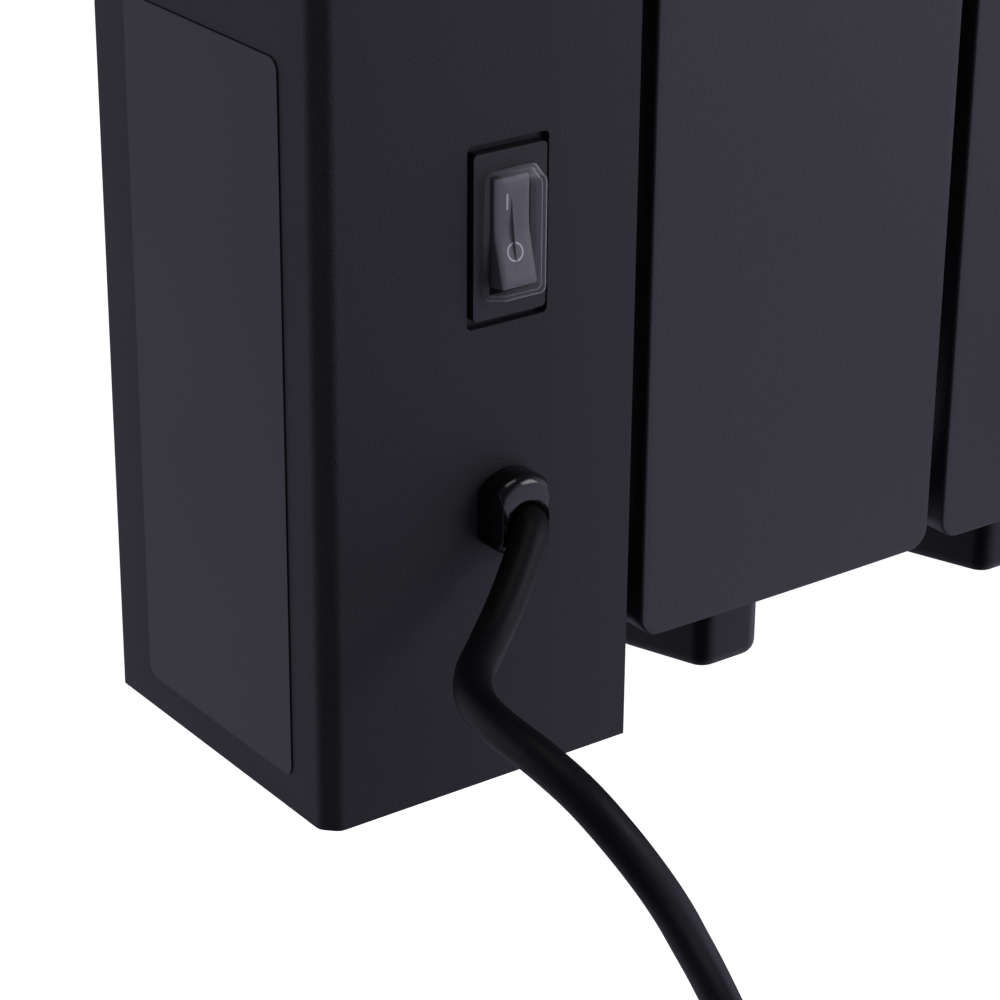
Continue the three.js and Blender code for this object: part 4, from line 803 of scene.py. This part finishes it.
def rocker_rings():
    """Rings of the rocker's outline from its root to the face: the rim follows the V of the face, then
    insets step towards the middle, dropping the edge by a small round."""
    base = box_outline(2 * ROCKER_HALF[0], 2 * ROCKER_HALF[1], 0.0006, 5)
    following = np.roll(base, -1, 0)
    t = np.linspace(0, 1, 25)[:-1, None]
    long_side = np.abs(following - base)[:, 1] > 0.01
    base = np.concatenate(
        [
            base[k] + (following[k] - base[k]) * t if long_side[k] else base[k : k + 1]
            for k in range(len(base))
        ]
    )
    rings = [np.stack([base[:, 0], np.full(len(base), ROCKER_ROOT), base[:, 1]], 1)]
    for inset, drop in ROCKER_STEPS:
        line = base * (1 - inset / np.array(ROCKER_HALF))
        rings.append(np.stack([line[:, 0], rocker_height(line[:, 1]) - drop, line[:, 1]], 1))
    return rocker_turned(np.stack(rings))


rocker_plastic = surface_finish("rocker_plastic", (0.1, 0.099, 0.115), 0.4, 0.0003, 0.00001, wear=0.06)
piece(
    "rocker_cap",
    [skin(rocker_rings())],
    rocker_plastic,
    body="switch_rocker",
    stands_for=("switch_rocker",),
)
mark_white = surface_finish("mark_white", (0.62, 0.62, 0.68), 0.5, 0.0004, 0.00001, wear=0.04)


def mark_bar(x, up, half_x, half_up):
    """A printed bar on the rocker's face, a few hundredths of a millimetre thick."""
    outline = box_outline(2 * half_x, 2 * half_up, 0.0001, 3) + [x, up]
    height = rocker_height(outline[:, 1])
    layers = [np.stack([outline[:, 0], height + lift, outline[:, 1]], 1) for lift in (MARK_FOOT, MARK_TOP)]
    return rocker_turned(np.stack(layers))


def mark_ring(up, radius, width):
    """A printed ring on the rocker's face: a closed band of radius r, square in section."""
    a = np.linspace(0, 2 * np.pi, 48, endpoint=False)
    inner = radius - width
    section = [(inner, MARK_FOOT), (radius, MARK_FOOT), (radius, MARK_TOP), (inner, MARK_TOP)]
    section += [(inner, MARK_FOOT)]
    bands = []
    for r, lift in section:
        x, z = r * np.cos(a), up + r * np.sin(a)
        bands.append(np.stack([x, rocker_height(z) + lift, z], 1))
    return rocker_turned(np.stack(bands))


piece(
    "rocker_marks",
    [
        skin(mark_bar(0.0011, 0.0056, 0.00018, 0.0015)),
        skin(mark_ring(-0.0038, 0.0018, 0.00034), False, False),
    ],
    mark_white,
    body="switch_rocker",
)

COVER_SIZE, COVER_RISE, COVER_WALL, COVER_LEAN = (0.0122, 0.0246), 0.0046, 0.0007, 0.001
COVER_ROUND, COVER_TOP_INSET = 0.0012, 0.0035
COVER_CORNER, LEAST_CORNER = 0.0018, 0.0006
cover_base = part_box("switch_cover")[0][1]


def cap_rings():
    """A five-sided cap about the window's middle: the outer skin rises from the rim with a slight lean and
    turns over a round of radius e, and the inner skin returns a wall inside it; the rim joins them."""
    e, inner_e = COVER_ROUND, COVER_ROUND - COVER_WALL * 0.6
    a = np.linspace(0, np.pi / 2, 7)
    outer = [(0.0, 0.0)] + [(COVER_LEAN + e * (1 - np.cos(t)), COVER_RISE - e * (1 - np.sin(t))) for t in a]
    outer += [(COVER_TOP_INSET, COVER_RISE)]
    inner_rise, inner_inset = COVER_RISE - COVER_WALL, COVER_WALL + COVER_LEAN
    inner = [(COVER_TOP_INSET, inner_rise)]
    inner += [
        (inner_inset + inner_e * (1 - np.cos(t)), inner_rise - inner_e * (1 - np.sin(t))) for t in a[::-1]
    ]
    inner += [(COVER_WALL, 0.0)]

    def ring(inset, rise):
        size = (COVER_SIZE[0] - 2 * inset, COVER_SIZE[1] - 2 * inset)
        corner = max(COVER_CORNER - inset * 0.5, LEAST_CORNER)
        x, z = (box_outline(*size, corner) + np.array(SWITCH_AT)).T
        return np.stack([x, np.full_like(x, cover_base + rise), z], 1)

    return np.stack([ring(*at) for at in outer]), np.stack([ring(*at) for at in inner])


cap_with_painted_edge_highlight = bpy.data.materials.new("cap_with_painted_edge_highlight")
cap_with_painted_edge_highlight.use_nodes = True
cap_tree = cap_with_painted_edge_highlight.node_tree
cap_shader = cap_tree.nodes["Principled BSDF"]
# Pale base colour: painted highlight. Where the surface turns away from view the Layer Weight below makes the
# cap opaque, so this pale colour paints whitish highlights along its rounded edges; the faces towards the
# view stay nearly clear.
cap_shader.inputs["Base Color"].default_value = (0.72, 0.72, 0.78, 1)
cap_shader.inputs["Specular IOR Level"].default_value = 0.8
cap_noise = noise(cap_tree, cap_tree.nodes.new("ShaderNodeTexCoord").outputs["Object"], 420, 2)
cap_tree.links.new(ranged(cap_tree, cap_noise, (0, 1), (0.14, 0.3)), cap_shader.inputs["Roughness"])
cap_edge = cap_tree.nodes.new("ShaderNodeLayerWeight")
cap_edge.inputs["Blend"].default_value = 0.5
# Opacity that rises towards the grazing edges, which shows the pale colour there as a painted highlight.
cap_painted_highlight_alpha = ranged(cap_tree, cap_edge.outputs["Facing"], (0.42, 1.0), (0.03, 1.0))
cap_tree.links.new(cap_painted_highlight_alpha, cap_shader.inputs["Alpha"])
raised(cap_tree, cap_noise, 0.00002, cap_shader)
cap_outer, cap_inner = cap_rings()
piece(
    "switch_cap",
    [skin(np.concatenate([cap_outer[::-1], cap_inner[::-1]]))],
    cap_with_painted_edge_highlight,
    stands_for=("switch_cover",),
)

# ---------------------------------------------------------------------------
# Wheels: moulded black wheels with a rounded tread, a plain dished web and a
# hub that turns on the foot's axle. They don't swivel.
TREAD_ROUND = 0.003


def wheel_profile(width, tread):
    """Half profile of the wheel as (x along the axle, radius), from the bore on one side round the tread to
    the bore on the other: straight hub, dished web, rim, and a tread whose shoulders are quarter rounds."""
    h, e = width / 2, TREAD_ROUND
    a = np.linspace(0, np.pi / 2, 6)
    side = [(-h, 0.0034), (-h, 0.006), (-h + 0.0006, 0.0066)]
    side += [(-0.0034, 0.0072), (-0.003, 0.0082), (-0.003, 0.0150), (-0.0036, 0.0160)]
    side += [(-h + 0.0024, 0.0168), (-h + 0.002, 0.0174)]
    shoulder = [(-h + 0.002 + e * (1 - np.cos(t)), tread - e * (1 - np.sin(t))) for t in a]
    half = side + shoulder
    return half + [(-x, r) for x, r in half[::-1]]


wheel_plastic = surface_finish(
    "wheel_plastic", (0.011, 0.011, 0.012), 0.5, 0.0006, 0.00003, wear=0.15, gloss=0.4
)
for foot in ("near", "far"):
    for side in ("rear", "front"):
        node = f"wheel_{foot}_{side}"
        low, high = (np.array(v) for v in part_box(node))
        tread = (high[2] - low[2]) / 2
        rings = turned(wheel_profile(high[0] - low[0], tread), 72) + (low + high) / 2
        rings = np.concatenate([rings, rings[:1]])
        piece(
            f"castor_{foot}_{side}",
            [skin(rings, False, False)],
            wheel_plastic,
            body=node,
            stands_for=(node,),
        )

# ---------------------------------------------------------------------------
# Pressed and moulded pieces whose CAD shape is already the real one: end
# cover, inner cover, base, top panel with its buttons, and the feet. Each is
# a merged copy whose edges are broken by its coat or its mould.
top_plastic = surface_finish("top_plastic", (0.008, 0.008, 0.009), 0.32, 0.0007, 0.00002, wear=0.1)
button_plastic = surface_finish("button_plastic", (0.05, 0.05, 0.055), 0.42, 0.0005, 0.00002, wear=0.08)
zinc_plate = surface_finish("zinc_plate", (0.5, 0.5, 0.52), 0.34, 0.0012, 0.00002, metal=1.0, wear=0.14)
for node, width, material in (
    ("end_cover", 0.0003, housing_powder),
    ("housing_inner_cover", 0.0002, housing_powder),
    ("foot_bar_near", 0.0003, housing_powder),
    ("foot_bar_far", 0.0003, housing_powder),
    ("housing_base", 0.0003, top_plastic),
    ("control_panel", 0.0004, top_plastic),
    ("clamp_near", 0.0003, zinc_plate),
    ("clamp_far", 0.0003, zinc_plate),
    ("clamp_screw_near", 0.0004, top_plastic),
    ("clamp_screw_far", 0.0004, top_plastic),
    ("filler_plug", 0.0004, zinc_plate),
):
    broken_edges(node, width, material)
for node in ("button_power", "button_mode", "button_minus", "button_plus"):
    broken_edges(node, 0.0003, button_plastic, body=node)

# ---------------------------------------------------------------------------
# Pieces that keep their CAD shape: the display window and the parts inside
# the housing, each with its own finish.
window_glass = surface_finish("window_glass", (0.003, 0.003, 0.0035), 0.08, 0.002, 0.000004, wear=0.05)
board_lacquer = surface_finish("board_lacquer", (0.02, 0.1, 0.045), 0.4, 0.0015, 0.00003, wear=0.2)
element_steel = surface_finish("element_steel", (0.42, 0.38, 0.35), 0.4, 0.0012, 0.00003, metal=1.0, wear=0.2)
for node, material in (
    ("display_window", window_glass),
    ("control_board", board_lacquer),
    ("terminal_block", top_plastic),
    ("thermal_cutout", zinc_plate),
    ("tilt_switch", button_plastic),
    ("heating_element", element_steel),
    ("switch_bracket", bezel_plastic),
):
    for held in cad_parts[node].material_slots:
        held.material = material

# ---------------------------------------------------------------------------
# Studio: a pale floor, soft lights, and a dim room with two pale walls, one
# beyond the far end of the rear and one beyond the front of the end face.
DIM = 0.10
ROOM_COLOUR = (0.92, 0.9, 1.16, 1)
FLOOR_REACH = 9
SOFT_WALLS = (((-1.0, 0.75, -0.4), 0.8), ((0.75, -1.0, -0.4), 0.46))
floor_mesh = bpy.data.meshes.new("floor")
floor_mesh.from_pydata(
    [(x * FLOOR_REACH, y * FLOOR_REACH, 0) for x, y in ((-1, -1), (1, -1), (1, 1), (-1, 1))],
    [],
    [(0, 1, 2, 3)],
)
floor = bpy.data.objects.new("floor", floor_mesh)
bpy.context.scene.collection.objects.link(floor)
floor_paint = bpy.data.materials.new("floor_paint")
floor_paint.use_nodes = True
floor_shader = floor_paint.node_tree.nodes["Principled BSDF"]
floor_shader.inputs["Base Color"].default_value = (0.85, 0.85, 0.85, 1)
floor_shader.inputs["Roughness"].default_value = 0.9
floor_shader.inputs["Specular IOR Level"].default_value = 0.0
floor_shader.inputs["Emission Color"].default_value = (1, 1, 1, 1)
floor_shader.inputs["Emission Strength"].default_value = 0.95
floor_mesh.materials.append(floor_paint)
floor.visible_glossy = False
floor.visible_diffuse = False

world = bpy.data.worlds.new("studio")
world.use_nodes = True
sky = world.node_tree.nodes["Background"]
sky.inputs["Color"].default_value = ROOM_COLOUR
sky_nodes, sky_links = world.node_tree.nodes, world.node_tree.links
sky_way = sky_nodes.new("ShaderNodeTexCoord").outputs["Generated"]
sky_level = None
for toward, strength in SOFT_WALLS:
    facing = sky_nodes.new("ShaderNodeVectorMath")
    facing.operation = "DOT_PRODUCT"
    facing.inputs[1].default_value = Vector(toward).normalized()
    sky_links.new(sky_way, facing.inputs[0])
    lobe = ranged(world.node_tree, facing.outputs["Value"], (0.35, 0.95), (0, strength))
    lobe.node.interpolation_type = "SMOOTHSTEP"
    total = sky_nodes.new("ShaderNodeMath")
    total.inputs[0].default_value = DIM
    if sky_level:
        sky_links.new(sky_level, total.inputs[0])
    sky_links.new(lobe, total.inputs[1])
    sky_level = total.outputs["Value"]
sky_links.new(sky_level, sky.inputs["Strength"])
bpy.context.scene.world = world
bpy.context.scene.view_settings.view_transform = "Standard"


def soft_light(name, place, target, size, power):
    """A square area light at a place, turned to face a target."""
    data = bpy.data.lights.new(name, "AREA")
    data.shape = "SQUARE"
    data.size = size
    data.energy = power
    lamp = bpy.data.objects.new(name, data)
    lamp.location = place
    lamp.rotation_euler = (Vector(target) - Vector(place)).to_track_quat("-Z", "Y").to_euler()
    bpy.context.scene.collection.objects.link(lamp)


CORNER = (END_FACE, REAR_FACE, UNDERSIDE + 0.1)
soft_light("rear_right", (-0.7, 1.15, 0.75), CORNER, 0.7, 6)
soft_light("end_left", (1.5, -0.5, 0.3), CORNER, 0.7, 1.5)
soft_light("top", (0.35, 0.35, 2.1), CORNER, 0.9, 4.5)
